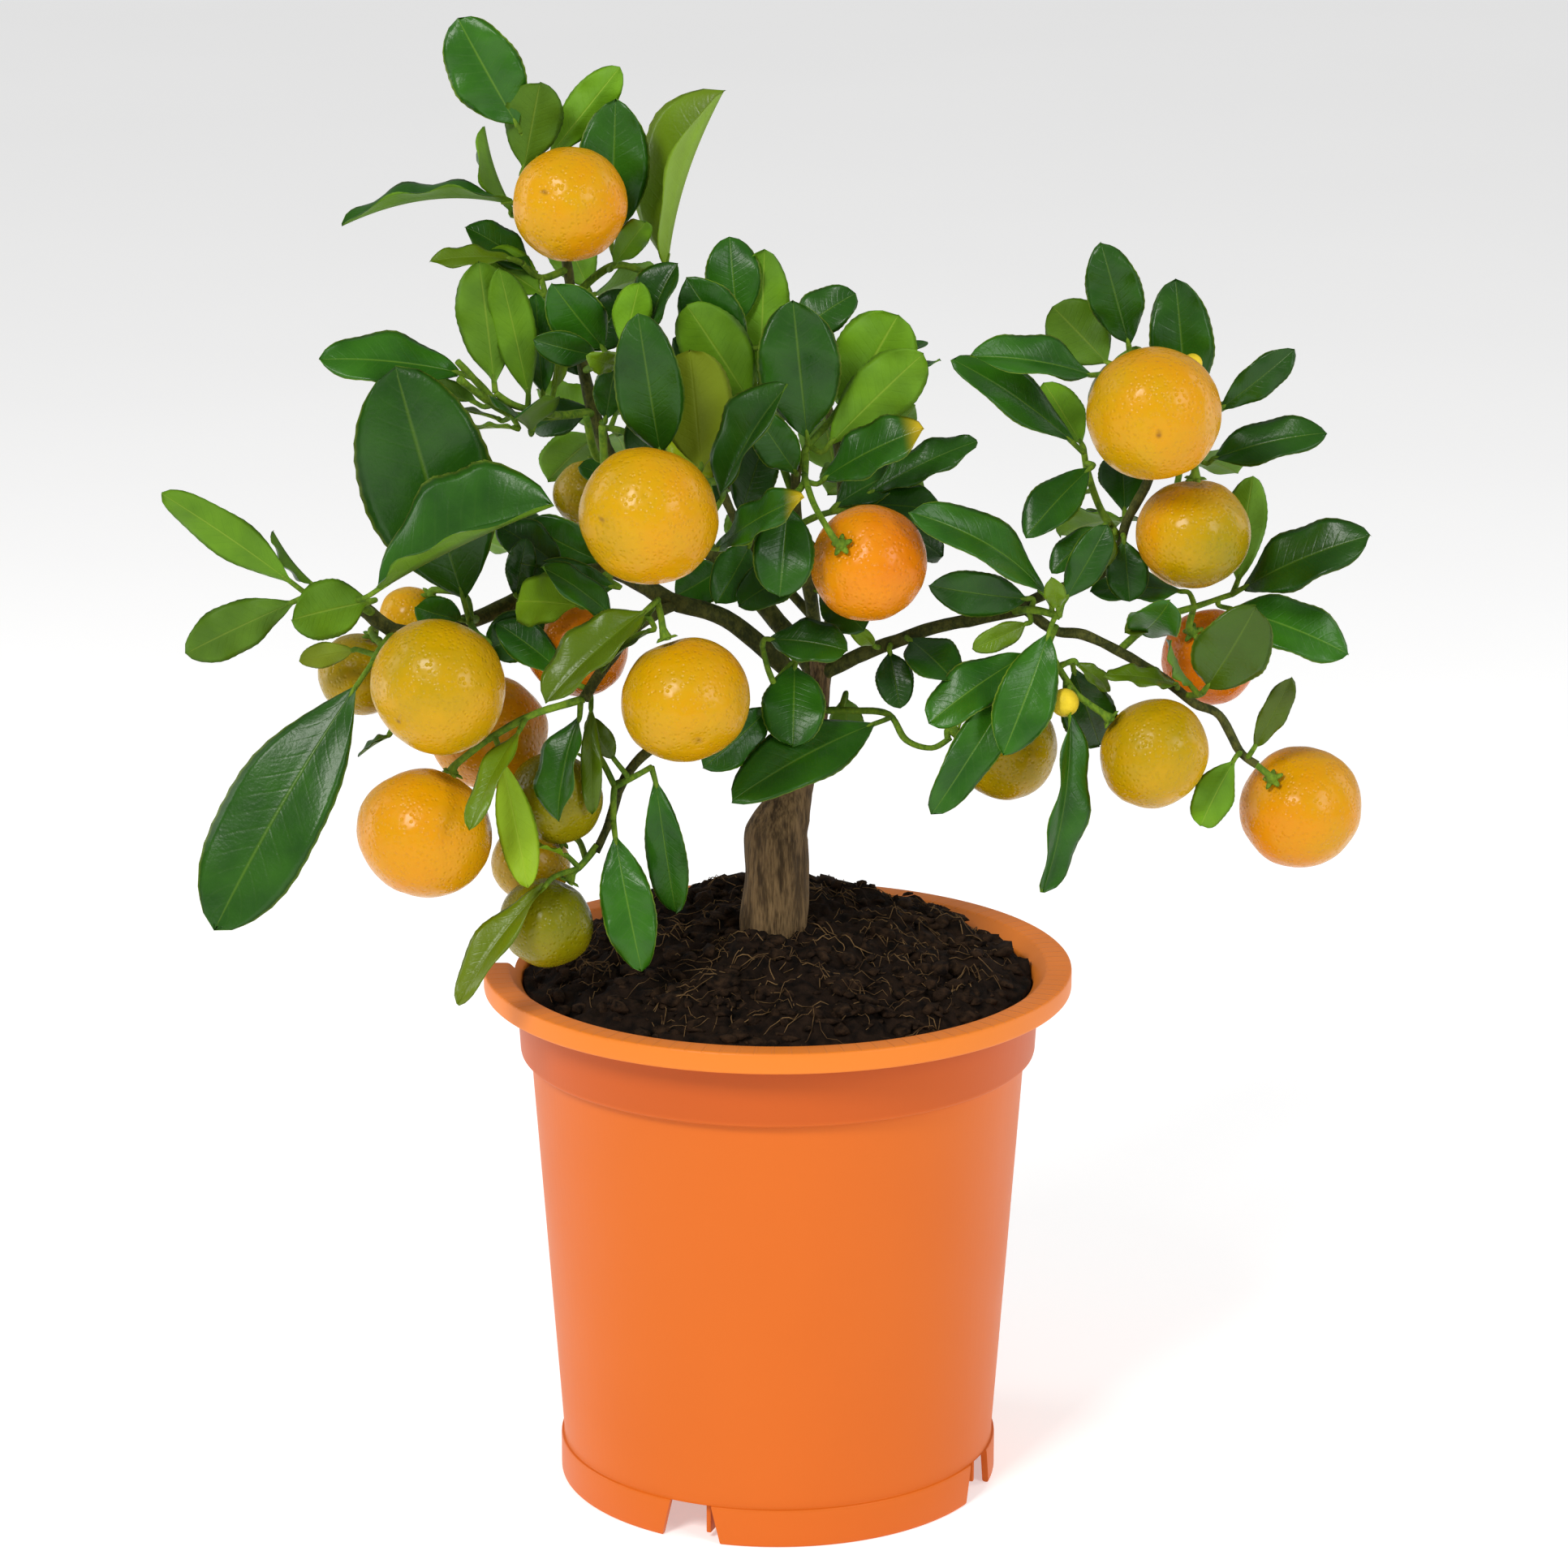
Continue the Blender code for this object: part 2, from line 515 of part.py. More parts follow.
        (Stalk("fruit_right_inner", ((39.8, -8, 57.1),)),),
    ),
    "right_node_shoot": Spray(
        "limb_right",
        (Twig(1.0, 0.9, ((54.5, -11.5, 88.6), (59, -18, 90.5), (65, -20, 89.5))),),
        (
            Leaf((63, -20, 92), (29.8, -39, 118), 13, "UF", 0.3, 0.12),
            Leaf((59, -16, 92.5), (34.7, -22, 97.2), 11, "F"),
            Leaf((64.5, -22, 91.5), (62.3, -30, 101), 5, "F"),
            Leaf((58.5, -16.5, 87.5), (44.8, -21, 82), 6, "F"),
            Leaf((63, -22, 88), (51.5, -34, 60), 14, "F"),
            Leaf((65.5, -19, 92), (75.5, -20, 111), 9, "F"),
        ),
    ),
    "right_down_spray": Spray(
        "limb_right",
        (
            Twig(1.3, 1.0, ((57.5, -12, 89.3), (64, -13, 84.5), (71, -13.5, 83.5), (80, -13, 79),
                            (90, -12, 72.5),
                            (97, -11, 66.5), (103, -10, 63.5), (108, -9, 54.5), (112, -10.5, 51.5))),
            Twig(0.8, 0.7, ((95, -11.3, 68.5), (97.5, -15, 69.5), (98.5, -18, 71))),
        ),
        (
            Leaf((98.5, -18, 71), (109, -30, 94), 17.5, "F"),
            Leaf((96.5, -15, 71), (90, -24, 84.7), 7, "L", 0.3),
            Leaf((94, -13, 71), (75, -26, 77), 6, "UF"),
            Leaf((110.5, -11, 54.5), (119, -16, 74), 6.5, "F"),
            Leaf((107, -12, 54), (97.8, -26, 41), 10, "B"),
        ),
        (Stalk("fruit_right_lower", ((111.5, -10.3, 51.9),)),),
    ),
    "right_hanging_shoot": Spray(
        "right_down_spray",
        (Twig(0.9, 0.8, ((64.5, -13.1, 85.4), (62.5, -18, 82), (65, -20, 77), (68.5, -21.5, 72),
                         (72, -22, 69))),),
        (
            Leaf((58, -21, 80), (35.4, -34, 46), 11, "F"),
            Leaf((67, -25, 73.5), (61, -37, 28.2), 12, "RF", 0.5),
            Leaf((59, -19, 81), (34.7, -28, 66), 13, "UF"),
            Leaf((68, -14, 77), (75.6, -4, 54.6), 13, "F"),
            Leaf((68, -20, 79), (77, -17, 71), 5, "UF"),
        ),
        (Stalk("fruit_right_middle", ((71.5, -22, 69.4),)),),
    ),
    "right_inner_shoot": Spray(
        "limb_right_up",
        (Twig(1.0, 0.8, ((79.8, -7, 104), (75, -4.5, 111), (72, -2, 119), (71, -2, 124))),),
        (
            Leaf((70, -3, 125), (40, -10, 147.5), 12, "UF"),
            Leaf((71, 0, 125), (62, 8, 138.7), 10, "B"),
            Leaf((73, -6, 122), (57, -18, 107.5), 11.5, "UF"),
            Leaf((76, -10, 109), (63, -17, 99), 8, "UF"),
            Leaf((78, -9, 107), (73, -14, 99.5), 6, "F"),
            Leaf((73, -1, 115), (66, 6, 109), 8, "U"),
        ),
    ),
    "right_crown_shoot": Spray(
        "limb_right_up",
        (
            Twig(0.9, 0.7, ((84.7, 2.7, 142), (83.5, 2, 147.5), (79, -1, 146), (76, -4, 143))),
            Twig(0.8, 0.7, ((83.5, 1.8, 147.5), (85, -6, 147))),
        ),
        (
            Leaf((74.5, -5, 142), (43.6, -20, 150), 12, "UF", 0.5),
            Leaf((77, -1, 144), (63.5, 3, 157.5), 15, "B"),
            Leaf((81.5, 0, 147.5), (74, -4, 173.4), 13, "F"),
        ),
        (
            Stalk("fruit_right_top", ((84.7, -5, 147),)),
            Stalk("fruit_right_green", ((83.5, 2.2, 147), (84, 8, 144))),
        ),
    ),
    "right_top_shoot": Spray(
        "limb_right_up",
        (Twig(0.9, 0.7, ((87.2, -1.2, 124), (92.5, 0.5, 128), (97, -1, 132), (100, -3, 134))),),
        (
            Leaf((95, 1, 132), (91.5, 0, 164.5), 15, "F"),
            Leaf((101, -4, 134), (118.5, -8, 149.5), 8.5, "F"),
            Leaf((98, 0, 130), (107.9, 3, 135.3), 6, "U"),
            Leaf((99, 2, 121), (127, -3, 129), 12, "UF"),
        ),
        (Stalk("fruit_right_upper", ((93, 0.3, 128.4), (95.5, -9, 127))),),
    ),
    "right_middle_shoot": Spray(
        "right_down_spray",
        (Twig(1.0, 0.7, ((79, -13, 79.5), (84, -9, 83), (90, -6, 86), (98, -5, 88.5), (106, -4, 91))),),
        (
            Leaf((107, -4, 92), (110.4, 0, 118.3), 10, "B"),
            Leaf((106, -6, 91.5), (136, -18, 108), 16, "UF"),
            Leaf((96, -3, 91), (72.6, -6, 92), 11, "UUF", 0.1),
            Leaf((103, -3, 88), (133, -8, 77.5), 15, "UF"),
            Leaf((84, -11, 83.5), (89, -34, 96), 12, "F"),
            Leaf((90, -9, 86), (80, -18, 85), 6, "UF"),
        ),
        (Stalk("fruit_right_behind", ((97, -5, 88.2), (97, -1, 86))),),
    ),
    "back_left_shoot": Spray(
        "limb_back",
        (Twig(0.9, 0.7, ((-33, 37.8, 119.4), (-38, 41, 121), (-42, 44, 121))),),
        (
            Leaf((-42, 44, 121), (-58, 46, 130), 14, "BU"),
            Leaf((-39, 43, 120), (-36, 60, 108), 15, "BU"),
            Leaf((-40, 43, 122), (-28, 54, 136), 12, "BU"),
            Leaf((-42, 45, 120), (-56, 54, 106), 14, "BU"),
        ),
        (Stalk("fruit_back_left", ((-41, 43, 121), (-44, 37, 121))),),
    ),
    "back_middle_shoot": Spray(
        "limb_back",
        (Twig(1.0, 0.7, ((12.3, 39.4, 125.5), (10, 44, 129), (8, 48, 131))),),
        (
            Leaf((8, 49, 132), (-4, 58, 142), 13, "BU"),
            Leaf((10, 46, 131), (22, 54, 137), 13, "BU"),
            Leaf((12, 46, 128), (32, 54, 122), 13, "BU"),
            Leaf((8, 47, 128), (-12, 56, 118), 14, "BU"),
            Leaf((10, 46, 127), (14, 62, 106), 15, "BU"),
        ),
    ),
    "back_right_shoot": Spray(
        "limb_right_up",
        (Twig(0.9, 0.7, ((86.2, -2.2, 120), (92, 8, 120), (95, 16, 119.5), (96, 20, 118.5))),),
        (
            Leaf((96, 20, 119.5), (103, 36, 125), 12, "BU"),
            Leaf((94, 19, 119), (84, 36, 116), 12, "BU"),
            Leaf((97, 21, 118.5), (110, 33, 112), 12, "BU"),
        ),
        (Stalk("fruit_back_right", ((95.6, 19.5, 118.8),)),),
    ),
}

SKINS = {
    "ripe": (0.82, 0.27, 0.02),
    "deep": (0.72, 0.15, 0.02),
    "amber": (0.80, 0.42, 0.04),
    "turning": (0.55, 0.50, 0.06),
    "olive": (0.42, 0.38, 0.05),
    "green": (0.13, 0.24, 0.03),
}
PEEL_ROUGHNESS = 0.35

# Colour and roughness of the other finishes.
FINISHES = {
    "pot_plastic": ((0.75, 0.19, 0.04), 0.5),
    "potting_mix": ((0.02, 0.012, 0.008), 0.95),
    "bark": ((0.12, 0.085, 0.05), 0.85),
    "foliage": ((0.03, 0.11, 0.02), 0.4),
}


def clear_scene():
    """Remove every object that the scene starts with."""
    for thing in list(bpy.data.objects):
        bpy.data.objects.remove(thing)


def make_material(name, colour, roughness):
    """Return a Principled material with a plain colour."""
    material = bpy.data.materials.new(name)
    material.use_nodes = True
    shader = material.node_tree.nodes["Principled BSDF"]
    shader.inputs["Base Color"].default_value = (*colour, 1.0)
    shader.inputs["Roughness"].default_value = roughness
    return material


def add_object(name, mesh):
    """Link a mesh into the scene as a named object and return the object."""
    thing = bpy.data.objects.new(name, mesh)
    bpy.context.scene.collection.objects.link(thing)
    return thing


def object_from(name, form):
    """Turn a bmesh into an object with its faces pointing out."""
    bmesh.ops.recalc_face_normals(form, faces=form.faces)
    mesh = bpy.data.meshes.new(name)
    form.to_mesh(mesh)
    form.free()
    return add_object(name, mesh)


def islands(form):
    """Return the faces of a bmesh in groups that hang together."""
    groups = []
    left = set(form.faces)
    while left:
        group = {left.pop()}
        edge = list(group)
        while edge:
            face = edge.pop()
            near = {other for side in face.edges for other in side.link_faces} & left
            left -= near
            group |= near
            edge += near
        groups.append(group)
    return groups


def clean_cut(mesh):
    """Weld what a Boolean left nearly touching, and drop the flaps and crumbs without volume."""
    form = bmesh.new()
    form.from_mesh(mesh)
    bmesh.ops.triangulate(form, faces=form.faces)
    bmesh.ops.remove_doubles(form, verts=form.verts, dist=WELD)
    bmesh.ops.dissolve_degenerate(form, edges=form.edges, dist=WELD)
    bmesh.ops.triangulate(form, faces=form.faces)
    same = {}
    for face in form.faces:
        same.setdefault(frozenset(face.verts), []).append(face)
    flaps = [face for pair in same.values() if len(pair) > 1 for face in pair]
    bmesh.ops.delete(form, geom=flaps, context="FACES_ONLY")
    crumbs = [face for group in islands(form) if len(group) < CRUMB_FACES for face in group]
    bmesh.ops.delete(form, geom=crumbs, context="FACES_ONLY")
    bmesh.ops.delete(form, geom=[edge for edge in form.edges if not edge.link_faces], context="EDGES")
    bmesh.ops.delete(form, geom=[vert for vert in form.verts if not vert.link_faces], context="VERTS")
    form.to_mesh(mesh)
    form.free()


def boolean(target, tools, operation):
    """Apply an exact Boolean of target with a group of closed tools, and drop the tools."""
    if not tools:
        return target
    group = bpy.data.collections.new("tools")
    for tool in tools:
        group.objects.link(tool)
    modifier = target.modifiers.new(operation, "BOOLEAN")
    modifier.operation = operation
    modifier.operand_type = "COLLECTION"
    modifier.collection = group
    modifier.solver = "EXACT"
    graph = bpy.context.evaluated_depsgraph_get()
    mesh = bpy.data.meshes.new_from_object(target.evaluated_get(graph), depsgraph=graph)
    target.modifiers.remove(modifier)
    clean_cut(mesh)
    target.data = mesh
    for tool in tools:
        bpy.data.objects.remove(tool)
    bpy.data.collections.remove(group)
    return target


def loft(name, sections):
    """Make a closed solid through rings of points; a last ring of one point makes a tip."""
    form = bmesh.new()
    ring = [form.verts.new(point) for point in sections[0]]
    face = form.faces.new(ring)
    for section in sections[1:]:
        face = bmesh.ops.extrude_discrete_faces(form, faces=[face])["faces"][0]
        if len(section) == 1:
            bmesh.ops.pointmerge(form, verts=list(face.verts), merge_co=section[0])
            break
        for vert, point in zip(face.verts, section):
            vert.co = point
    bmesh.ops.holes_fill(form, edges=form.edges, sides=0)
    return object_from(name, form)


def spot(place):
    """Turn a place in the plant's millimetres into a point in metres."""
    return Vector((place[0] * MM, place[1] * MM, place[2] * MM + POT_HEIGHT))


def tube(name, points, radii, sides, lengthen=0.0):
    """Make a closed tube along points, with a radius at each, its ends drawn out by lengthen."""
    points = [point.copy() for point in points]
    points[0] += (points[0] - points[1]).normalized() * lengthen
    points[-1] += (points[-1] - points[-2]).normalized() * lengthen
    sections = []
    side = None
    for index, point in enumerate(points):
        ahead = points[min(index + 1, len(points) - 1)]
        behind = points[max(index - 1, 0)]
        along = (ahead - behind).normalized()
        if side is None:
            side = along.orthogonal()
        side = (side - along * side.dot(along)).normalized()
        other = along.cross(side)
        angles = [2 * math.pi * step / sides for step in range(sides)]
        ring = [point + (side * math.cos(a) + other * math.sin(a)) * radii[index] for a in angles]
        sections.append(ring)
    return loft(name, sections)


def twig_tube(twig, swell=0.0):
    """Make a twig's tube; swell makes it thicker and longer, as a cutter for what grows from it."""
    points = [spot(point) for point in twig.points]
    last = len(points) - 1
    radii = [(twig.start + (twig.end - twig.start) * index / last) * MM + swell for index in range(last + 1)]
    sides = LIMB_SIDES if twig.start > LIMB_RADIUS else TWIG_SIDES
    return tube("twig", points, radii, sides, swell)


def trunk_tube(swell=0.0):
    """Make the trunk's tube, or the same shape swollen as a cutter."""
    points = [spot(point) for point, _ in TRUNK]
    radii = [radius * MM + swell for _, radius in TRUNK]
    return tube("trunk", points, radii, LIMB_SIDES, swell)


def nearest_on(twigs, place, skip):
    """Return the point on the twigs that is nearest to place, past the first twig's first stretch."""
    best = None
    for order, twig in enumerate(twigs):
        points = [spot(point) for point in twig.points]
        if order == 0:
            start = points[0]
            points[0] = start + (points[1] - start).normalized() * skip
        for first, second in zip(points, points[1:]):
            run = second - first
            share = max(0.0, min(1.0, (place - first).dot(run) / run.length_squared))
            found = first + run * share
            if best is None or (found - place).length < (best - place).length:
                best = found
    return best


def leaf_blade(leaf, root):
    """Make a leaf's closed solid: a stalk from root to the blade, then a thin folded blade to its tip."""
    base = spot(leaf.base)
    tip = spot(leaf.tip)
    run = tip - base
    along = run.normalized()
    face = sum((FACES[letter] for letter in leaf.face), Vector())
    up = (face - along * face.dot(along)).normalized()
    side = along.cross(up)

    def ring(centre, heading, half_width, half_height, lift):
        turn = along.rotation_difference(heading)
        across = turn @ side
        above = turn @ up
        return (
            centre + across * half_width + above * lift,
            centre + above * half_height,
            centre - across * half_width + above * lift,
            centre - above * half_height,
        )

    petiole = min(PETIOLE_SHARE, LONGEST_PETIOLE / run.length)
    stalk = PETIOLE_RADIUS
    sections = [ring(root, along, stalk, stalk, 0)]
    if (root - base).length > BENT_STALK:
        heading = (base - root).normalized()
        middle = (heading + along).normalized()
        sections = [ring(root, heading, stalk, stalk, 0), ring(base, middle, stalk, stalk, 0)]
    for share, width in ((petiole, None), *LEAF_STATIONS):
        centre = base + run * share + up * (leaf.arch * run.length * 4 * share * (1 - share))
        if width is None:
            sections.append(ring(centre, along, stalk, stalk, 0))
            continue
        half = leaf.width * MM * width / 2
        sections.append(ring(centre, along, half, LEAF_THICKNESS / 2, half * leaf.fold))
    sections.append((tip,))
    return loft("leaf", sections)


def fruit_pole(name):
    """Return the point on a fruit where its stalk joins, and the direction out of it."""
    fruit = FRUITS[name]
    out = Vector(fruit.stem).normalized()
    return spot(fruit.centre) + out * fruit.radius * MM * FRUIT_FLATNESS, out


def fruit_stalk(stalk):
    """Make a stalk that ends in a calyx just clear of its fruit."""
    pole, out = fruit_pole(stalk.fruit)
    points = [spot(point) for point in stalk.points]
    calyx_top = GAP + CALYX_HEIGHT
    points += [pole + out * reach for reach in (calyx_top + CALYX_NECK, calyx_top, GAP)]
    radii = [PETIOLE_RADIUS] * (len(points) - 2) + [CALYX_TOP_RADIUS, CALYX_RADIUS]
    return tube("stalk", points, radii, TWIG_SIDES)


def fruitlet(centre, radius, joint):
    """Make a young fruit with the short stalk that it grows on."""
    middle = spot(centre)
    root = spot(joint)
    away = (middle - root).normalized()
    reach = radius * MM
    points = [root, middle - away * reach * FRUITLET_STALK_END]
    radii = [PETIOLE_RADIUS, PETIOLE_RADIUS]
    for place, width in FRUITLET_STATIONS:
        points.append(middle + away * reach * place)
        radii.append(reach * width)
    return tube("fruitlet", points, radii, TWIG_SIDES)


def make_spray(name, spray, material):
    """Fuse a spray's twigs, leaves and stalks, and clear it from the wood that it grows on."""
    skip = TRUNK_SKIP if spray.parent == "trunk" else LIMB_SKIP
    shells = [twig_tube(twig) for twig in spray.twigs]
    for leaf in spray.leaves:
        shells.append(leaf_blade(leaf, nearest_on(spray.twigs, spot(leaf.base), skip)))
    shells += [fruit_stalk(stalk) for stalk in spray.stalks]
    if name in FRUITLETS:
        shells.append(fruitlet(*FRUITLETS[name]))
    body = boolean(shells[0], shells[1:], "UNION")
    if spray.parent == "trunk":
        cutters = [trunk_tube(GAP)]
    else:
        cutters = [twig_tube(twig, GAP) for twig in SPRAYS[spray.parent].twigs]
    boolean(body, cutters, "DIFFERENCE")
    body.name = name
    body.data.materials.clear()
    body.data.materials.append(material)
    return body


def make_fruit(name, fruit, material):
    """Make a slightly flattened fruit whose poles lie along its stalk."""
    form = bmesh.new()
    reach = fruit.radius * MM
    bmesh.ops.create_uvsphere(form, u_segments=FRUIT_SEGMENTS, v_segments=FRUIT_RINGS, radius=reach)
    bmesh.ops.scale(form, vec=(1, 1, FRUIT_FLATNESS), verts=form.verts)
    turn = Vector((0, 0, 1)).rotation_difference(Vector(fruit.stem)).to_matrix().to_4x4()
    bmesh.ops.transform(form, matrix=Matrix.Translation(spot(fruit.centre)) @ turn, verts=form.verts)
    body = object_from(name, form)
    body.data.materials.append(material)
    body.data.shade_smooth()
    return body


def pot_radii():
    """Return the pot's outer radii: collar top, collar foot, wall top, wall foot."""
    collar_top = RIM_RADIUS - RIM_OVERHANG
    collar_foot = collar_top - COLLAR_DRAFT
    wall_top = collar_foot - LEDGE_WIDTH
    return collar_top, collar_foot, wall_top, wall_top - WALL_DRAFT


def pot_levels():
    """Return the pot's heights: foot step, floor's underside, floor's top, ledge and skirt's foot."""
    underside = FOOT_HEIGHT + FLOOR_RECESS
    skirt_foot = POT_HEIGHT - SKIRT_HEIGHT
    return FOOT_HEIGHT, underside, underside + POT_WALL, skirt_foot - COLLAR_HEIGHT, skirt_foot


def pot_profile():
    """Return the pot's closed half section as (radius, height) points."""
    collar_top, collar_foot, wall_top, wall_foot = pot_radii()
    step, underside, floor, ledge, skirt_foot = pot_levels()
    foot = wall_foot + FOOT_PROUD
    plate = POT_HEIGHT - POT_WALL
    return [
        (0, underside),
        (foot - POT_WALL, underside),
        (foot - POT_WALL, 0),
        (foot, 0),
        (foot, step),
        (wall_foot, step),
        (wall_top, ledge),
        (collar_foot, ledge),
        (collar_top, plate),
        (RIM_RADIUS - POT_WALL, plate),
        (RIM_RADIUS - POT_WALL, skirt_foot),
        (RIM_RADIUS, skirt_foot),
        (RIM_RADIUS, POT_HEIGHT),
        (RIM_RADIUS - RIM_FLAT, POT_HEIGHT),
        (collar_top - POT_WALL, POT_HEIGHT - (RIM_OVERHANG + POT_WALL - RIM_FLAT)),
        (collar_foot - POT_WALL, ledge + POT_WALL),
        (wall_top - POT_WALL, ledge),
        (wall_foot - POT_WALL, floor),
        (0, floor),
    ]


def revolve(name, profile, segments):
    """Turn a half section about Z into a closed solid."""
    form = bmesh.new()
    verts = [form.verts.new((radius, 0, height)) for radius, height in profile]
    edges = [form.edges.new(pair) for pair in zip(verts, verts[1:])]
    bmesh.ops.spin(form, geom=verts + edges, axis=(0, 0, 1), cent=(0, 0, 0), angle=2 * math.pi,
                   steps=segments, use_merge=True)
    bmesh.ops.remove_doubles(form, verts=form.verts, dist=WELD)
    return object_from(name, form)


def prism(name, outline, low, high):
    """Make a closed prism from a flat outline between two heights."""
    lower = [Vector((x, y, low)) for x, y in outline]
    upper = [Vector((x, y, high)) for x, y in outline]
    return loft(name, (lower, upper))


def notch_cutter(angle):
    """Make the trapezoid that opens one drain notch through the foot ring."""
    _, _, _, wall_foot = pot_radii()
    inner = wall_foot - NOTCH_REACH
    outer = wall_foot + FOOT_PROUD + CUT_MARGIN
    slope = (NOTCH_BOTTOM_WIDTH - NOTCH_TOP_WIDTH) / FOOT_HEIGHT
    widest = NOTCH_BOTTOM_WIDTH + slope * CUT_MARGIN
    outline = ((-widest, -CUT_MARGIN), (widest, -CUT_MARGIN),
               (NOTCH_TOP_WIDTH, FOOT_HEIGHT), (-NOTCH_TOP_WIDTH, FOOT_HEIGHT))
    near = [Vector((inner, across / 2, height)) for across, height in outline]
    far = [Vector((outer, across / 2, height)) for across, height in outline]
    cutter = loft("notch", (near, far))
    cutter.data.transform(Matrix.Rotation(angle, 4, "Z"))
    return cutter


def label_slot_cutter():
    """Make the sector that removes the rim's overhang where a label would clip on."""
    collar_top, _, _, _ = pot_radii()
    sweep = LABEL_SLOT_TO - LABEL_SLOT_FROM
    angles = [LABEL_SLOT_FROM + sweep * step / SLOT_STEPS for step in range(SLOT_STEPS + 1)]
    near = collar_top + SLOT_CLEARANCE
    far = RIM_RADIUS + CUT_MARGIN
    outline = [(near * math.cos(a), near * math.sin(a)) for a in angles]
    outline += [(far * math.cos(a), far * math.sin(a)) for a in reversed(angles)]
    return prism("label_slot", outline, POT_HEIGHT - SKIRT_HEIGHT - CUT_MARGIN, POT_HEIGHT + CUT_MARGIN)


def drain_cutter(angle):
    """Make the drill for one drain hole in the floor."""
    _, underside, floor, _, _ = pot_levels()
    form = bmesh.new()
    depth = floor - underside + 2 * CUT_MARGIN
    bmesh.ops.create_cone(form, cap_ends=True, segments=DRAIN_SEGMENTS, radius1=DRAIN_RADIUS,
                          radius2=DRAIN_RADIUS, depth=depth)
    place = Vector((DRAIN_CIRCLE * math.cos(angle), DRAIN_CIRCLE * math.sin(angle), (floor + underside) / 2))
    bmesh.ops.translate(form, vec=place, verts=form.verts)
    return object_from("drain", form)


def make_pot(material):
    """Make the pot with its drain notches, label slot and drain holes."""
    pot = revolve("pot", pot_profile(), POT_SEGMENTS)
    cutters = [notch_cutter(angle) for angle in NOTCH_ANGLES]
    cutters += [drain_cutter(angle) for angle in NOTCH_ANGLES]
    cutters.append(label_slot_cutter())
    boolean(pot, cutters, "DIFFERENCE")
    pot.data.materials.clear()
    pot.data.materials.append(material)
    pot.data.shade_smooth()
    pot.data.set_sharp_from_angle(angle=SHARP_ANGLE)
    return pot


def make_potting_mix(material):
    """Make the body of potting mix: it fills the pot, and a hollow in it holds the trunk's foot."""
    _, collar_foot, wall_top, wall_foot = pot_radii()
    _, _, floor, ledge, _ = pot_levels()
    surface = POT_HEIGHT - MIX_EDGE_DROP
    inset = POT_WALL + 2 * GAP
    throat = collar_foot - inset
    profile = [(0, floor + GAP), (wall_foot - inset, floor + GAP), (wall_top - inset, ledge - 2 * GAP),
               (throat, ledge + POT_WALL + GAP), (throat, surface)]
    rise = MOUND_HEIGHT + MIX_EDGE_DROP
    profile += [(throat * share, surface + rise * (1 - share**2)) for share in MIX_RINGS]
    profile.append((0, surface + rise))
    mix = revolve("potting_mix", profile, MIX_SEGMENTS)
    boolean(mix, [trunk_tube(GAP)], "DIFFERENCE")
    mix.data.materials.clear()
    mix.data.materials.append(material)
    return mix


def make_trunk(material):
    """Make the trunk from its foot in the potting mix to the head of the limbs."""
    trunk = trunk_tube()
    trunk.name = "trunk"
    trunk.data.materials.append(material)
    return trunk


def main():
    """Build the pot, the potting mix and the plant."""
    clear_scene()
    finish = {name: make_material(name, *values) for name, values in FINISHES.items()}
    make_pot(finish["pot_plastic"])
    make_potting_mix(finish["potting_mix"])
    make_trunk(finish["bark"])
    for name, spray in SPRAYS.items():
        make_spray(name, spray, finish["bark" if name.startswith("limb") else "foliage"])
    skins = {skin: make_material(f"peel_{skin}", colour, PEEL_ROUGHNESS) for skin, colour in SKINS.items()}
    for name, fruit in FRUITS.items():
        make_fruit(name, fruit, skins[fruit.skin])


main()
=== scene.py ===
"""Looks of a potted calamondin: a nursery pot, its potting mix, the tree's wood, its leaves and its fruits.

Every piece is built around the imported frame. Places of the plant are in millimetres from the pot's axis and
from the plane of its rim: x to the right, y to the back, z up. Everything else is in metres.
"""

from __future__ import annotations

import json
import logging
import math
import random
from dataclasses import dataclass, field
from enum import Enum
from typing import Callable, Iterable, Sequence

import bmesh
import bpy
from mathutils import Matrix, Vector, noise

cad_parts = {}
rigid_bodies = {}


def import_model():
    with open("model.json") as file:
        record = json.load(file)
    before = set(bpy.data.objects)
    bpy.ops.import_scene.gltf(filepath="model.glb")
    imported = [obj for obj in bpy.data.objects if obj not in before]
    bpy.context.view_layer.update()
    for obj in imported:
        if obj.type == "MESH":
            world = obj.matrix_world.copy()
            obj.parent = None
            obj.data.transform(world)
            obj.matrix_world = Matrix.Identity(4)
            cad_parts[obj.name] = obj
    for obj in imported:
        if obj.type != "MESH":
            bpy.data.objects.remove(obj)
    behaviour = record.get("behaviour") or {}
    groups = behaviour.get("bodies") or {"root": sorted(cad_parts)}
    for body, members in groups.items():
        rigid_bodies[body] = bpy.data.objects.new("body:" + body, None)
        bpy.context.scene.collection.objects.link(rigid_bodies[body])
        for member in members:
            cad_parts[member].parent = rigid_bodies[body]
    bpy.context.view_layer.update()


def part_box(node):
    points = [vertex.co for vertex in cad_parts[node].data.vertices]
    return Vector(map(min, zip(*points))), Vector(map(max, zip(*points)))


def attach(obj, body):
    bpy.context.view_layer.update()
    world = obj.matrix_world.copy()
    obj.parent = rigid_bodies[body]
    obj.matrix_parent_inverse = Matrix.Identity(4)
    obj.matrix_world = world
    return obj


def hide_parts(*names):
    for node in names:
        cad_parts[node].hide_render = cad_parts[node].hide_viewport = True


LOG = logging.getLogger("calamondin")
MM = 0.001
WHOLE_TURN = 2 * math.pi
SHARP_ANGLE = math.radians(40)
FRUIT_FLATNESS = 0.94
WOOD_SLOT, LEAF_SLOT, GREEN_SLOT, FRUITLET_SLOT = range(4)

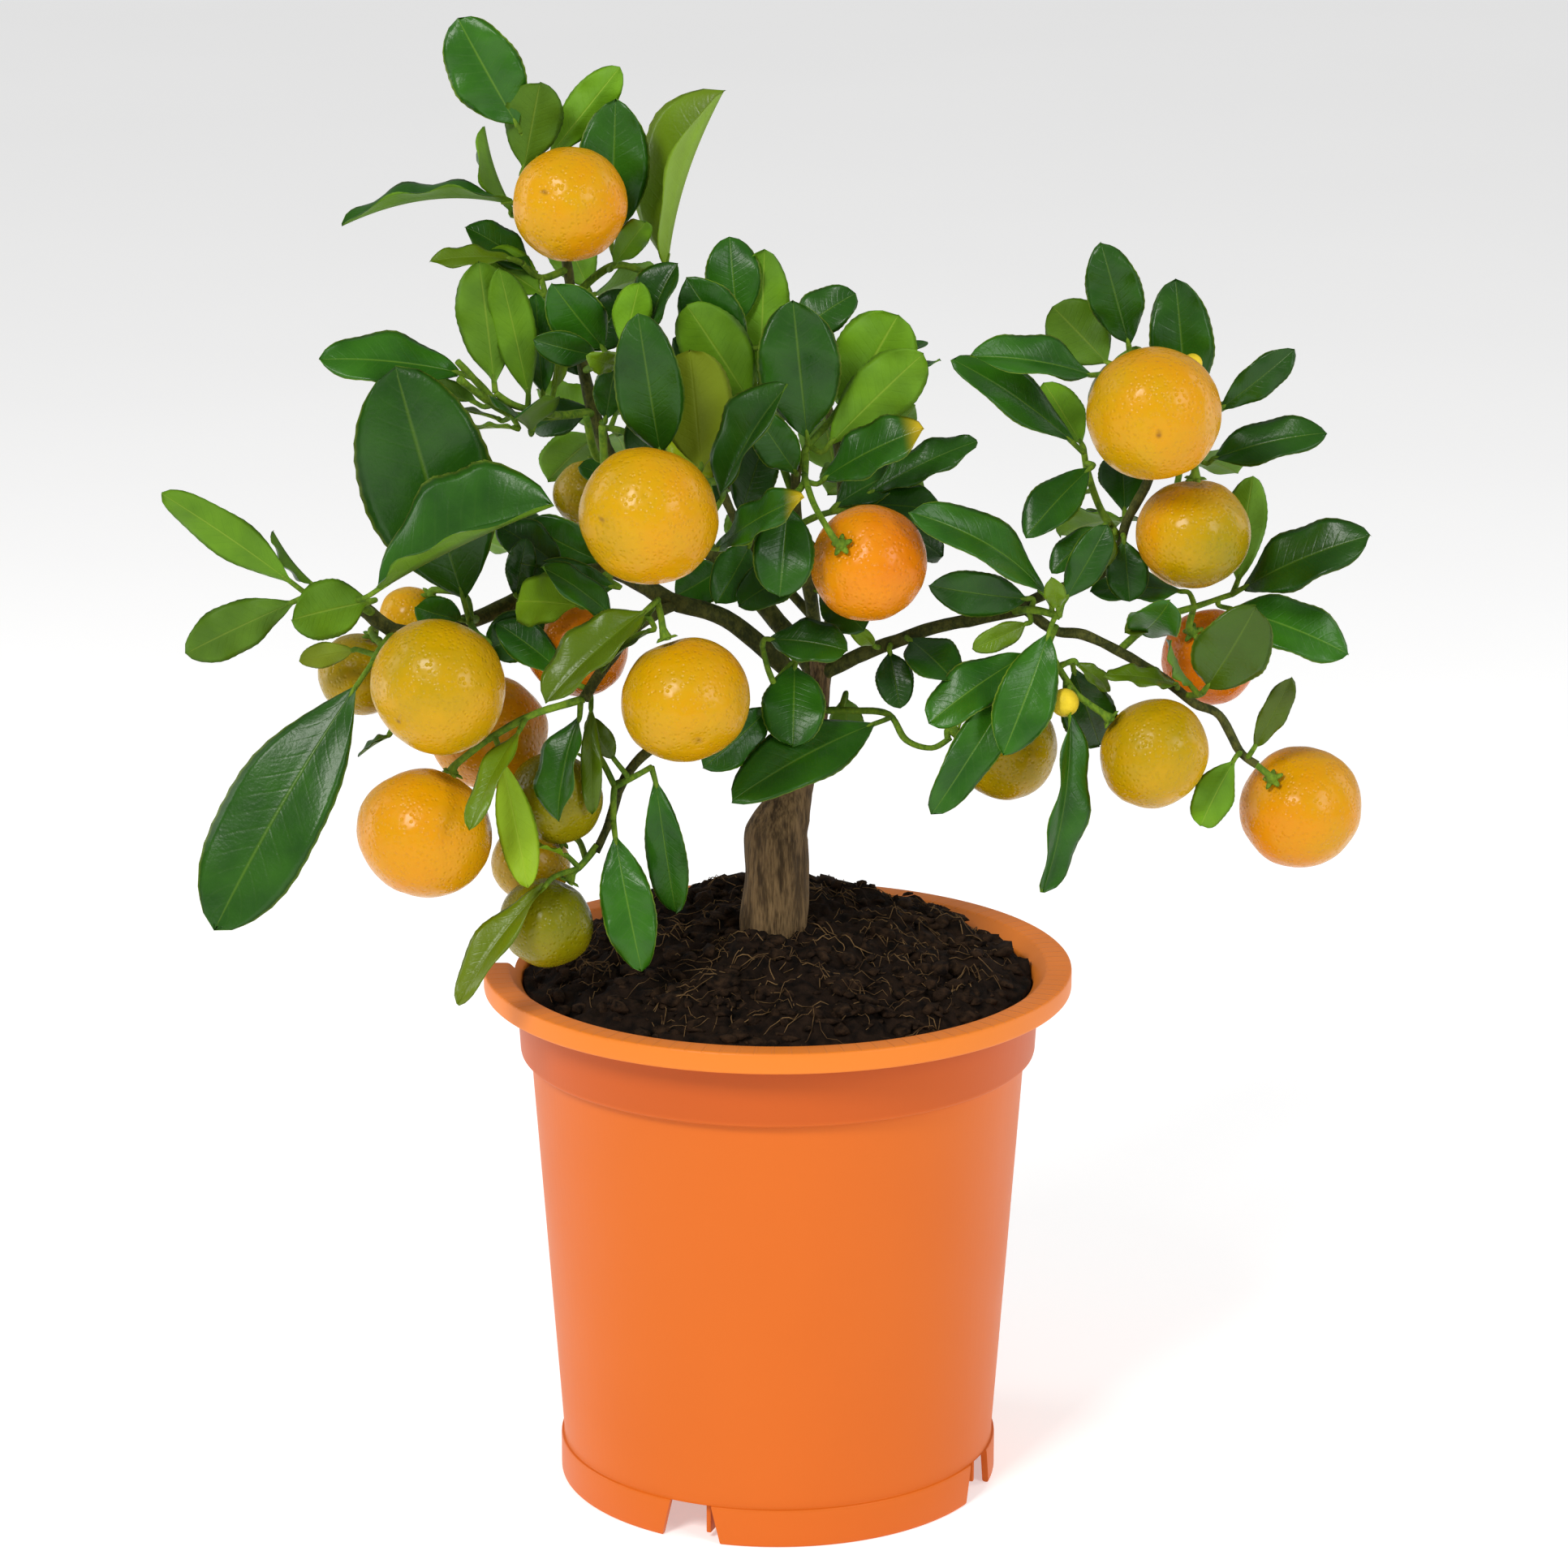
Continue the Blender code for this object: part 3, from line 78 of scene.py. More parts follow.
Form = bmesh.types.BMesh
Material = bpy.types.Material
NodeTree = bpy.types.NodeTree
Socket = bpy.types.NodeSocket
Place = tuple[float, float, float]
Colour = tuple[float, float, float]
Section = Sequence[tuple[float, float]]

FACES = {
    "F": Vector((0, -1, 0)),
    "B": Vector((0, 1, 0)),
    "U": Vector((0, 0, 1)),
    "D": Vector((0, 0, -1)),
    "L": Vector((-1, 0, 0)),
    "R": Vector((1, 0, 0)),
}


class Wood(Enum):
    """The age of a piece of wood, which sets its bark."""

    OLD = "old"
    YOUNG = "young"
    GREEN = "green"


@dataclass(frozen=True)
class Leaf:
    """A blade from its base to its tip, with the side that its upper face looks to."""

    base: Place
    tip: Place
    width: float
    face: str
    fold: float = 0.2
    arch: float = 0.06

    def facing(self) -> Vector:
        """Return the sum of the directions that the upper face looks to."""
        return sum((FACES[letter] for letter in self.face), Vector())


@dataclass(frozen=True)
class Twig:
    """A woody run with its radius at the start and at the end."""

    start: float
    end: float
    points: tuple[Place, ...]


@dataclass(frozen=True)
class Stalk:
    """A fruit's stalk: the fruit it holds and the points it passes before the fruit."""

    fruit: str
    points: tuple[Place, ...]


@dataclass(frozen=True)
class Spray:
    """Twigs, leaves and stalks that grew as one piece on a parent."""

    parent: str
    twigs: tuple[Twig, ...]
    leaves: tuple[Leaf, ...] = ()
    stalks: tuple[Stalk, ...] = ()


@dataclass(frozen=True)
class Fruit:
    """A fruit: its centre, its radius, where its stalk joins, and a name for its peel, which is not used."""

    centre: Place
    radius: float
    stem: Place
    skin: str


TRUNK = (
    ((-1, 0, -12), 8.0),
    ((-0.8, 0, 12), 7.7),
    ((-0.3, 0, 25), 7.8),
    ((0, 0, 32), 7.6),
    ((2, 0, 37.5), 6.3),
    ((4.2, 0, 43), 4.2),
    ((6.5, 0, 50), 3.2),
    ((8.8, 0, 58), 2.7),
    ((9.8, 0, 70), 2.6),
    ((9.5, 2, 76), 2.5),
)

FRUITS = {
    "fruit_crown": Fruit((-46.6, -20, 184.7), 13.0, (-0.25, 0.93, 0.15), "ripe"),
    "fruit_centre_left": Fruit((-28.8, -48, 118.9), 15.8, (0.25, 0.75, 0.6), "amber"),
    "fruit_far_left": Fruit((-97, -10, 73.3), 10, (0.3, -0.2, 0.93), "turning"),
    "fruit_left_upper": Fruit((-76.2, -48, 79.8), 15.5, (0.6, 0.7, 0.4), "olive"),
    "fruit_left_lower": Fruit((-80.5, -42, 43.9), 15.5, (0.42, 0.05, 0.9), "ripe"),
    "fruit_left_behind": Fruit((-67.4, -10, 59.3), 13.8, (-0.05, -0.15, 0.98), "ripe"),
    "fruit_left_hidden": Fruit((-86, 2, 84), 7.5, (0.6, -0.3, 0.7), "amber"),
    "fruit_centre": Fruit((20.8, -30, 104.2), 13.4, (-0.47, -0.72, 0.47), "deep"),
    "fruit_right_top": Fruit((85, -28, 138.4), 15.3, (0, 0.95, 0.3), "amber"),
    "fruit_right_green": Fruit((84, 18, 132.3), 11, (0.1, -0.75, 0.65), "green"),
    "fruit_right_upper": Fruit((95.7, -14, 107.6), 13.2, (0, -0.08, 1), "ripe"),
    "fruit_right_behind": Fruit((102, 8, 73), 11.5, (-0.4, -0.6, 0.65), "deep"),
    "fruit_right_middle": Fruit((87, -22, 57.4), 13, (-0.78, 0, 0.62), "turning"),
    "fruit_right_lower": Fruit((123.4, -2, 39), 14.5, (-0.53, -0.57, 0.63), "amber"),
    "fruit_right_inner": Fruit((53.8, -8, 55), 12.3, (-0.95, 0, 0.3), "olive"),
    "fruit_front": Fruit((-20.7, -45, 75.9), 14.8, (-0.3, 0.1, 0.95), "amber"),
    "fruit_inner_left": Fruit((-46.3, -18, 81.6), 12, (0.2, 0.5, 0.8), "deep"),
    "fruit_hanging_olive": Fruit((-50.9, -32, 49.5), 11, (0.6, 0.3, 0.75), "green"),
    "fruit_hanging_back": Fruit((-57.8, -14, 28.7), 9.5, (0.7, -0.2, 0.6), "olive"),
    "fruit_hanging_tip": Fruit((-53.3, -34, 20.1), 10.9, (0.45, 0.1, 0.85), "green"),
    "fruit_back_left": Fruit((-45, 28, 108), 8.5, (0.2, 0.5, 0.8), "olive"),
    "fruit_back_right": Fruit((97, 24, 96), 10, (-0.25, -0.25, 0.93), "amber"),
}

# Fruitlets that grow with their shoots: centre, radius and the point where they join.
FRUITLETS = {
    "right_hanging_shoot": ((66, -26, 70.5), 3.3, (66.5, -20.5, 75)),
    "right_top_shoot": ((95, -10, 146.5), 2.3, (97, -1, 132)),
}

SPRAYS = {
    "limb_right": Spray(
        "trunk",
        (Twig(1.8, 1.4, ((9.8, 0, 70.5), (20, -3, 76.5), (28, -5, 80), (36, -7, 83.5), (46, -10, 86.5),
                         (58, -12, 89.5))),),
        (
            Leaf((30, -8, 81.5), (40.6, -24, 75), 12, "FU"),
            Leaf((26, -8, 79), (28.5, -14, 66), 9, "F"),
            Leaf((23, -7, 79), (16.5, -15, 86.5), 4, "F"),
        ),
    ),
    "limb_right_up": Spray(
        "limb_right",
        (
            Twig(1.3, 1.0, ((53, -11, 88.3), (63, -9, 92.5), (71, -9.5, 95.5), (78, -8, 99.5),
                            (81, -6, 109), (86, -3, 118), (88, 0, 128), (86, 2, 138), (84.3, 3, 144))),
            Twig(0.9, 0.7, ((81, -6, 109), (82, 6, 106), (82, 18, 104))),
        ),
        (
            Leaf((82, 18, 104), (77, 38, 97), 14, "BU"),
            Leaf((82, 13, 105), (68, 33, 97), 13, "BU"),
            Leaf((82, 17, 105), (82, 33, 116), 12, "BU"),
            Leaf((80, -9, 106), (81.5, -12, 91), 10, "F"),
        ),
    ),
    "limb_left": Spray(
        "trunk",
        (
            Twig(2.2, 1.8, ((9.4, 0, 65), (-1, -8, 77), (-12, -12, 87), (-25, -14, 92), (-40, -4, 97),
                            (-55, -2, 92),
                            (-70, -8, 86), (-86, -22, 86), (-95.6, -28, 94))),
            Twig(0.9, 0.7, ((-55, -2, 92), (-58, 10, 95), (-60, 22, 94))),
        ),
        (
            Leaf((-60, 22, 94), (-80, 32, 98), 15, "BU"),
            Leaf((-59, 16, 94), (-48, 38, 84), 14, "BU"),
            Leaf((-60, 20, 95), (-64, 38, 110), 13, "BU"),
            Leaf((-40, -7, 99), (-58, -10, 109), 12, "F"),
        ),
    ),
    "limb_crown": Spray(
        "trunk",
        (
            Twig(2.4, 1.0, ((9.6, 0.5, 70), (0, 7, 82), (-14, 7, 97), (-28, 5, 109), (-38, 3, 120),
                            (-43, 1, 135),
                            (-46, 0, 150), (-48, -2, 166), (-50, -4, 180))),
            Twig(1.1, 0.9, ((-38, 3, 120), (-39.5, -6, 123), (-42, -12, 126), (-43.7, -16, 135.4))),
            Twig(1.1, 0.9, ((-39.2, -4, 122.4), (-39.5, -13, 122), (-40, -18, 133.5))),
            Twig(0.9, 0.7, ((-46, 0, 150), (-46, 10, 154), (-44, 20, 158))),
        ),
        (
            Leaf((-44, 20, 158), (-52, 30, 174), 12, "B"),
            Leaf((-44, 18, 157), (-28, 30, 160), 13, "BU"),
            Leaf((-45, 14, 155), (-62, 26, 149), 13, "BU"),
            Leaf((-40, -1, 131), (-37, -6, 147), 8, "F"),
            Leaf((-44, 4, 140), (-51, 3, 155), 11, "F"),
            Leaf((-42, 4, 133), (-57, 6, 128), 10, "UF"),
            Leaf((-30, 2, 112), (-46, -2, 121), 10, "UF"),
            Leaf((-12, 4, 96), (-24, -2, 90), 11, "F"),
            Leaf((-8, 10, 90), (4, 12, 104), 12, "F"),
            Leaf((-22, 8, 104), (-16, 10, 124), 13, "F"),
            Leaf((-33, 8, 116), (-26, 8, 136), 13, "F"),
            Leaf((-45, 3, 146), (-34, 4, 161), 12, "F"),
        ),
    ),
    "limb_hanging": Spray(
        "trunk",
        (Twig(1.4, 1.0, ((7.4, 0, 52.5), (-4, -8, 62), (-16, -16, 63), (-27, -22, 60), (-35, -26, 53),
                         (-39, -28, 42),
                         (-42, -30, 36))),),
    ),
    "limb_middle": Spray(
        "trunk",
        (
            Twig(1.8, 1.1, ((9.4, 0.5, 74.5), (8, -10, 90), (5, -16, 105), (4, -18, 118), (5, -18, 127))),
            Twig(1.2, 1.0, ((8.4, -7, 86), (-2, -2, 97), (-10, -8, 110), (-14, -12, 121))),
        ),
        (
            Leaf((-6, -6, 104), (-14, -18, 92), 11, "F"),
            Leaf((6, -14, 99), (-9, -20, 92), 12, "UF"),
            Leaf((9, -13, 94), (20, -20, 86), 11, "UF"),
            Leaf((3, -19, 113), (3, -24, 97), 10, "F"),
            Leaf((5, -20, 122), (-5, -24, 138), 10, "F"),
            Leaf((-13, -9, 118), (-24, -10, 136), 13, "F"),
            Leaf((-9, -6, 109), (-3, -6, 128), 11, "F"),
        ),
    ),
    "limb_back": Spray(
        "trunk",
        (
            Twig(1.8, 1.0, ((9.9, 0.8, 62), (13, 12, 84), (15, 24, 99), (15, 34, 114), (12, 40, 127))),
            Twig(1.2, 0.8, ((14, 18, 91.5), (0, 28, 103), (-18, 36, 112), (-34, 38, 120))),
            Twig(1.2, 0.8, ((14.2, 20, 94), (20, 28, 102), (24, 34, 112))),
        ),
        (
            Leaf((24, 35, 113), (12, 48, 104), 14, "BU"),
            Leaf((24, 35, 114), (33, 42, 127), 13, "BU"),
            Leaf((22, 32, 108), (34, 44, 104), 13, "BU"),
            Leaf((0, 28, 104), (-10, 42, 92), 14, "BU"),
            Leaf((-18, 36, 113), (-16, 52, 102), 14, "BU"),
            Leaf((13, 15, 92), (22, 12, 106), 12, "F"),
        ),
    ),
    "crown_tip_shoot": Spray(
        "limb_crown",
        (Twig(1.0, 0.7, ((-49.6, -3.6, 177), (-52, -5, 187), (-55, -6, 194), (-58, -7, 199))),),
        (
            Leaf((-58, -7, 199), (-72, -8, 225), 17, "F"),
            Leaf((-58, -7, 189), (-53.5, -12, 211), 13.5, "B"),
            Leaf((-53, -5, 192), (-35.7, -2, 213.3), 10, "B"),
            Leaf((-60, -1, 179), (-66.7, -2, 199.8), 12, "L", 0.6),
            Leaf((-57, -6, 182), (-98.5, -16, 179.1), 12, "U", 0.6, 0.1),
        ),
        (Stalk("fruit_crown", ((-52, -5, 187),)),),
    ),
    "crown_right_shoot": Spray(
        "limb_crown",
        (Twig(1.0, 0.7, ((-47.3, -1.2, 160), (-41, -3, 166), (-36, -2, 168), (-28, -1, 165))),),
        (
            Leaf((-38, -2, 172), (-36.7, -4, 206.4), 16.5, "F"),
            Leaf((-26, 0, 164), (-12.1, 0, 207.8), 21, "LLLF", 1.0),
            Leaf((-38, -8, 168), (-29.5, -21, 181), 7, "B"),
        ),
    ),
    "crown_left_shoot": Spray(
        "limb_crown",
        (Twig(0.9, 0.7, ((-48.2, -2.2, 167), (-54, -8, 166), (-58, -12, 170))),),
        (
            Leaf((-55, -9, 167), (-71, -10, 178), 10, "UF"),
            Leaf((-59, -13, 171), (-78.5, -20, 171.7), 6, "UF"),
            Leaf((-53, -9, 162), (-67, -13, 172), 11, "B"),
        ),
    ),
    "upper_left_shoot": Spray(
        "limb_crown",
        (
            Twig(1.1, 0.8, ((-42.5, 1.2, 133), (-50, -8, 134), (-58, -12, 134.5), (-62, -14, 136),
                            (-67, -17, 142),
                            (-72.5, -21, 149))),
            Twig(0.9, 0.9, ((-61, -14, 135.5), (-65, -17.5, 138.5), (-72, -24, 145.5))),
            Twig(0.9, 0.7, ((-50, -8, 134), (-54, -17, 136.5), (-60, -21, 139), (-64, -22, 142))),
        ),
        (
            Leaf((-64, -22, 142), (-67, -27, 173), 14, "B", 0.25),
            Leaf((-56, -20, 138), (-62.3, -30, 172), 10, "B"),
            Leaf((-53.5, -13, 138), (-55, -13, 163.4), 8, "F"),
            Leaf((-51.5, -11, 139), (-50.5, -9, 161), 6, "FR", 0.5),
            Leaf((-70, -17, 145), (-103.7, -24, 150), 15, "UF", 0.15),
            Leaf((-67, -13, 137), (-92.3, -10, 142.8), 9, "UB", 0.5),
            Leaf((-63, -9, 133), (-76.8, -8, 135.3), 4, "U"),
            Leaf((-59, -18, 133), (-71.5, -22, 133), 5, "U"),
            Leaf((-56, -19, 132), (-59, -36, 139), 16, "U", 0.8),
        ),
    ),
    "upper_middle_shoot": Spray(
        "limb_crown",
        (Twig(1.0, 0.7, ((-44.6, 0.5, 143), (-41, -8, 146), (-38, -16, 149.5), (-36, -23, 150.5))),),
        (
            Leaf((-39, -14, 150), (-50.8, -22, 167), 13, "F"),
            Leaf((-40, -20, 150), (-55, -29, 155.5), 8, "F"),
            Leaf((-36, -26, 149), (-42.6, -36, 153), 6, "F"),
            Leaf((-35, -23, 151.5), (-31, -26, 168), 9, "B"),
            Leaf((-30, -19, 153), (-22.5, -18, 171), 12, "LF", 0.7),
        ),
    ),
    "middle_left_shoot": Spray(
        "limb_middle",
        (
            Twig(1.0, 0.7, ((-13.8, -11.8, 119.5), (-16, -20, 121), (-19, -26, 124), (-25, -30, 127))),
            Twig(0.8, 0.7, ((-16, -20, 121), (-14.5, -28, 116), (-15, -33, 108.5))),
        ),
        (
            Leaf((-26, -30, 127), (-31.1, -36, 162.5), 15.5, "F"),
            Leaf((-17, -26, 122.5), (-19.7, -30, 153.4), 17, "B"),
            Leaf((-13.5, -29, 116), (2.5, -37, 146.8), 15, "LLF", 0.7),
            Leaf((-14.8, -34, 107), (6, -52, 124), 11, "LUF"),
        ),
        (Stalk("fruit_centre_left", ((-22, -28, 125.7),)),),
    ),
    "middle_top_shoot": Spray(
        "limb_middle",
        (Twig(1.0, 0.7, ((4, -17.7, 116), (0, -15, 127), (-4, -13, 137), (-6, -11, 145), (-9, -6, 152))),),
        (
            Leaf((-7, -12, 146.5), (-20.7, -16, 167.3), 14, "F"),
            Leaf((-9, -5, 153), (-11, -2, 174.5), 13, "F"),
            Leaf((-4, -10, 139), (-3, -4, 172), 13, "B"),
            Leaf((-5, -17, 137), (-20.5, -22, 162), 15.5, "B"),
            Leaf((-3.5, -17, 141), (-2, -18, 152), 4, "L"),
            Leaf((2, -3, 150), (18, 0, 161), 12, "UF"),
            Leaf((-6, -9, 141), (-24, -8, 152), 10, "F"),
            Leaf((-4, -9, 136), (8, -5, 151), 11, "F"),
        ),
    ),
    "middle_right_shoot": Spray(
        "limb_middle",
        (
            Twig(1.0, 0.7, ((5, -18, 124), (7, -19, 129), (12, -15, 134), (17, -9, 139), (24, -6, 140.5))),
            Twig(0.9, 0.7, ((6.4, -18.7, 127.5), (6, -26, 122), (3.5, -33, 120.5))),
        ),
        (
            Leaf((7, -20, 129), (3.5, -25, 163.8), 19, "F"),
            Leaf((14, -15, 134), (27.5, -14, 158.5), 18.5, "B"),
            Leaf((10, -21, 128), (33, -27, 152), 14.5, "B"),
            Leaf((15, -1, 143), (24, 4, 150.5), 7, "U"),
            Leaf((24, -6, 142), (34.5, -2, 150.2), 7, "U"),
            Leaf((25, -8, 138.5), (37.4, -8, 147), 7, "U"),
            Leaf((9, -25, 121.5), (33, -34, 136), 14, "UF"),
            Leaf((2.5, -34, 120), (0.5, -43, 99.4), 14, "F"),
        ),
        (Stalk("fruit_centre", ((6.1, -24, 123.5), (8, -35, 119.5), (11, -43, 115.5))),),
    ),
    "middle_low_shoot": Spray(
        "limb_middle",
        (Twig(0.9, 0.7, ((4.5, -17, 110), (10, -14, 112), (17, -11, 113))),),
        (
            Leaf((19, -11, 115), (46, -8, 128), 9.5, "UF"),
            Leaf((17, -11, 113.5), (38, -16, 113), 12, "UF"),
            Leaf((17, -9, 112), (38.3, -6, 100.3), 13, "UF"),
            Leaf((12, -13, 113), (30, -4, 121), 11, "UF"),
        ),
    ),
    "left_big_leaf_shoot": Spray(
        "limb_left",
        (Twig(1.2, 0.9, ((-70, -8, 86), (-71, -16, 87.5), (-70.5, -25, 89.6))),),
        (
            Leaf((-70.5, -26, 90.5), (-86, -30, 149.5), 31, "F", 0.12, 0.04),
            Leaf((-72, -22, 89), (-82.5, -30, 94), 9, "F"),
        ),
        (
            Stalk("fruit_left_upper", ((-70.6, -24, 89.3), (-68.5, -31, 88))),
            Stalk("fruit_left_behind", ((-70.9, -15.5, 87.3), (-69.5, -14, 80))),
            Stalk("fruit_left_hidden", ((-70.8, -14.5, 87.2), (-72.5, -8, 91.5))),
        ),
    ),
    "far_left_upper_shoot": Spray(
        "limb_left",
        (Twig(1.1, 0.8, ((-92.5, -26, 91.4), (-95, -33, 95), (-100, -36, 97.5), (-106, -38, 98.5))),),
        (
            Leaf((-93, -40, 98.5), (-49.4, -56, 123), 26, "UUF", 1.0, 0.03),
            Leaf((-107.5, -39, 100), (-137.5, -46, 123.7), 10, "B"),
            Leaf((-107.7, -38, 97.8), (-133, -48, 87.4), 12, "B"),
            Leaf((-91, -36, 97), (-109, -47, 95), 14, "B", 0.1),
            Leaf((-104.4, -35, 99.5), (-114.5, -30, 111.7), 9, "L", 0.5),
        ),
    ),
    "far_left_lower_shoot": Spray(
        "limb_left",
        (
            Twig(1.1, 0.9, ((-87.5, -23, 87.2), (-90.5, -29, 84), (-92, -34, 82))),
            Twig(0.8, 0.6, ((-91, -30.5, 83.4), (-92, -28, 73), (-89, -22, 63))),
        ),
        (
            Leaf((-93, -36, 81), (-128, -52, 23.6), 25, "FU", 0.15, 0.05),
            Leaf((-96, -28, 83.5), (-109.6, -27, 80.6), 6, "B"),
            Leaf((-89, -22, 62), (-97, -22, 56.5), 7, "U"),
        ),
        (Stalk("fruit_far_left", ((-90.5, -28, 84.5), (-93.5, -21, 86)),),),
    ),
    "left_middle_shoot": Spray(
        "limb_left",
        (
            Twig(1.0, 0.8, ((-38.5, -5, 96.6), (-38, -15, 99), (-39, -22, 98.5))),
            Twig(0.8, 0.7, ((-39, -21.5, 98.6), (-49, -26, 99), (-58, -27, 95))),
        ),
        (
            Leaf((-44, -29, 94), (-58.8, -44, 98.5), 13, "B"),
            Leaf((-48, -26, 101), (-64, -25, 112), 11, "UF"),
            Leaf((-60, -27, 95), (-57, -30, 110), 7, "F"),
            Leaf((-36, -23, 97), (-57, -27, 101), 11, "F"),
            Leaf((-52, -27, 92), (-66, -31, 84), 12, "F"),
        ),
        (Stalk("fruit_inner_left", ((-38.2, -12, 98.3), (-42, -10, 95.5))),),
    ),
    "front_left_spray": Spray(
        "limb_left",
        (
            Twig(1.3, 1.2, ((-23, -13.7, 91.2), (-32, -24, 88), (-40, -34, 80), (-44, -38.5, 74.5))),
            Twig(0.9, 0.8, ((-32, -24, 88), (-28.5, -31, 94), (-27, -38, 97.5))),
            Twig(0.9, 0.8, ((-44, -38.5, 74.5), (-56, -42, 71.5), (-66, -41, 65.5))),
        ),
        (
            Leaf((-27.5, -40, 97), (-52, -52, 76.8), 13, "LF", 0.6),
            Leaf((-28, -30, 89), (-40, -41, 81.5), 6, "U", 0.6),
            Leaf((-36, -31, 90), (-53, -42, 106), 9, "UF"),
            Leaf((-44, -40, 73), (-49.8, -47, 48), 13, "LF", 0.5),
            Leaf((-57, -44, 70.5), (-69, -62, 50), 7, "U", 0.3),
            Leaf((-42.5, -35, 74), (-42.2, -42, 48.2), 5, "F"),
            Leaf((-47, -35, 77.7), (-64, -33, 91), 10, "UF"),
            Leaf((-63, -44, 64), (-56.5, -53, 34), 9, "B", 0.2),
        ),
        (
            Stalk("fruit_front", ((-27.2, -37.5, 97.2), (-26.3, -41, 94.5))),
            Stalk("fruit_left_lower", ((-66, -41, 65.5),)),
        ),
    ),
    "hanging_tip_shoot": Spray(
        "limb_hanging",
        (Twig(0.9, 0.8, ((-41.6, -29.7, 37.5), (-44, -31, 34.5), (-46, -32, 32.5))),),
        (
            Leaf((-51, -40, 33), (-73, -52, 6), 9.5, "LF", 0.5),
            Leaf((-48, -33, 35.5), (-57.4, -44, 41.2), 4, "U"),
        ),
        (
            Stalk("fruit_hanging_tip", ((-45.5, -31.8, 33),)),
            Stalk("fruit_hanging_back", ((-44.2, -30.8, 34.3), (-46, -23, 36.5))),
        ),
    ),
    "hanging_middle_shoot": Spray(
        "limb_hanging",
        (
            Twig(0.9, 0.7, ((-35.5, -26.2, 51.5), (-37.5, -30, 51.5), (-37.8, -31.5, 44))),
            Twig(0.8, 0.7, ((-37.3, -29.6, 51.5), (-31.5, -31, 55), (-29, -29, 56))),
        ),
        (
            Leaf((-37.8, -32.5, 43), (-31.2, -41, 10.5), 12.5, "F"),
            Leaf((-28.5, -28, 55.4), (-23.6, -26, 20), 9.5, "F"),
            Leaf((-37, -32, 58), (-43.3, -33, 68.6), 6, "F"),
        ),
        (Stalk("fruit_hanging_olive", ((-37.4, -29.8, 51.5), (-40.5, -28.5, 57.5))),),
    ),
    "trunk_shoot": Spray(
        "trunk",
        (Twig(0.9, 0.7, ((8.2, 0, 56), (4, -9, 67), (1, -15, 69), (-2, -18, 76), (-3.5, -18.5, 82))),),
        (
            Leaf((4, -12, 77), (3.5, -26, 60), 15, "F"),
            Leaf((-1, -17, 68), (-17, -31, 56.4), 11, "F"),
            Leaf((-3, -20, 84), (16, -27, 83), 12, "UF"),
        ),
    ),
    "right_low_shoot": Spray(
        "trunk",
        (Twig(0.9, 0.7, ((9.2, 0, 62), (18, -4, 63), (26, -6, 62.6), (30, -8, 57), (36, -8, 55),
                         (40.5, -8, 57.5))),),
        (
            Leaf((25, -9, 62), (-10.4, -36, 49.9), 17, "UF"),
            Leaf((16, 1, 66), (16.5, 5, 50), 8.5, "B"),
        ),
        (Stalk("fruit_right_inner", ((39.8, -8, 57.1),)),),
    ),
    "right_node_shoot": Spray(
        "limb_right",
        (Twig(1.0, 0.9, ((54.5, -11.5, 88.6), (59, -18, 90.5), (65, -20, 89.5))),),
        (
            Leaf((63, -20, 92), (29.8, -39, 118), 13, "UF", 0.3, 0.12),
            Leaf((59, -16, 92.5), (34.7, -22, 97.2), 11, "F"),
            Leaf((64.5, -22, 91.5), (62.3, -30, 101), 5, "F"),
            Leaf((58.5, -16.5, 87.5), (44.8, -21, 82), 6, "F"),
            Leaf((63, -22, 88), (51.5, -34, 60), 14, "F"),
            Leaf((65.5, -19, 92), (75.5, -20, 111), 9, "F"),
        ),
    ),
    "right_down_spray": Spray(
        "limb_right",
        (
            Twig(1.3, 1.0, ((57.5, -12, 89.3), (64, -13, 84.5), (71, -13.5, 83.5), (80, -13, 79),
                            (90, -12, 72.5),
                            (97, -11, 66.5), (103, -10, 63.5), (108, -9, 54.5), (112, -10.5, 51.5))),
            Twig(0.8, 0.7, ((95, -11.3, 68.5), (97.5, -15, 69.5), (98.5, -18, 71))),
        ),
        (
            Leaf((98.5, -18, 71), (109, -30, 94), 17.5, "F"),
            Leaf((96.5, -15, 71), (90, -24, 84.7), 7, "L", 0.3),
            Leaf((94, -13, 71), (75, -26, 77), 6, "UF"),
            Leaf((110.5, -11, 54.5), (119, -16, 74), 6.5, "F"),
            Leaf((107, -12, 54), (97.8, -26, 41), 10, "B"),
        ),
        (Stalk("fruit_right_lower", ((111.5, -10.3, 51.9),)),),
    ),
    "right_hanging_shoot": Spray(
        "right_down_spray",
        (Twig(0.9, 0.8, ((64.5, -13.1, 85.4), (62.5, -18, 82), (65, -20, 77), (68.5, -21.5, 72),
                         (72, -22, 69))),),
        (
            Leaf((58, -21, 80), (35.4, -34, 46), 11, "F"),
            Leaf((67, -25, 73.5), (61, -37, 28.2), 12, "RF", 0.5),
            Leaf((59, -19, 81), (34.7, -28, 66), 13, "UF"),
            Leaf((68, -14, 77), (75.6, -4, 54.6), 13, "F"),
            Leaf((68, -20, 79), (77, -17, 71), 5, "UF"),
        ),
        (Stalk("fruit_right_middle", ((71.5, -22, 69.4),)),),
    ),
    "right_inner_shoot": Spray(
        "limb_right_up",
        (Twig(1.0, 0.8, ((79.8, -7, 104), (75, -4.5, 111), (72, -2, 119), (71, -2, 124))),),
        (
            Leaf((70, -3, 125), (40, -10, 147.5), 12, "UF"),
            Leaf((71, 0, 125), (62, 8, 138.7), 10, "B"),
            Leaf((73, -6, 122), (57, -18, 107.5), 11.5, "UF"),
            Leaf((76, -10, 109), (63, -17, 99), 8, "UF"),
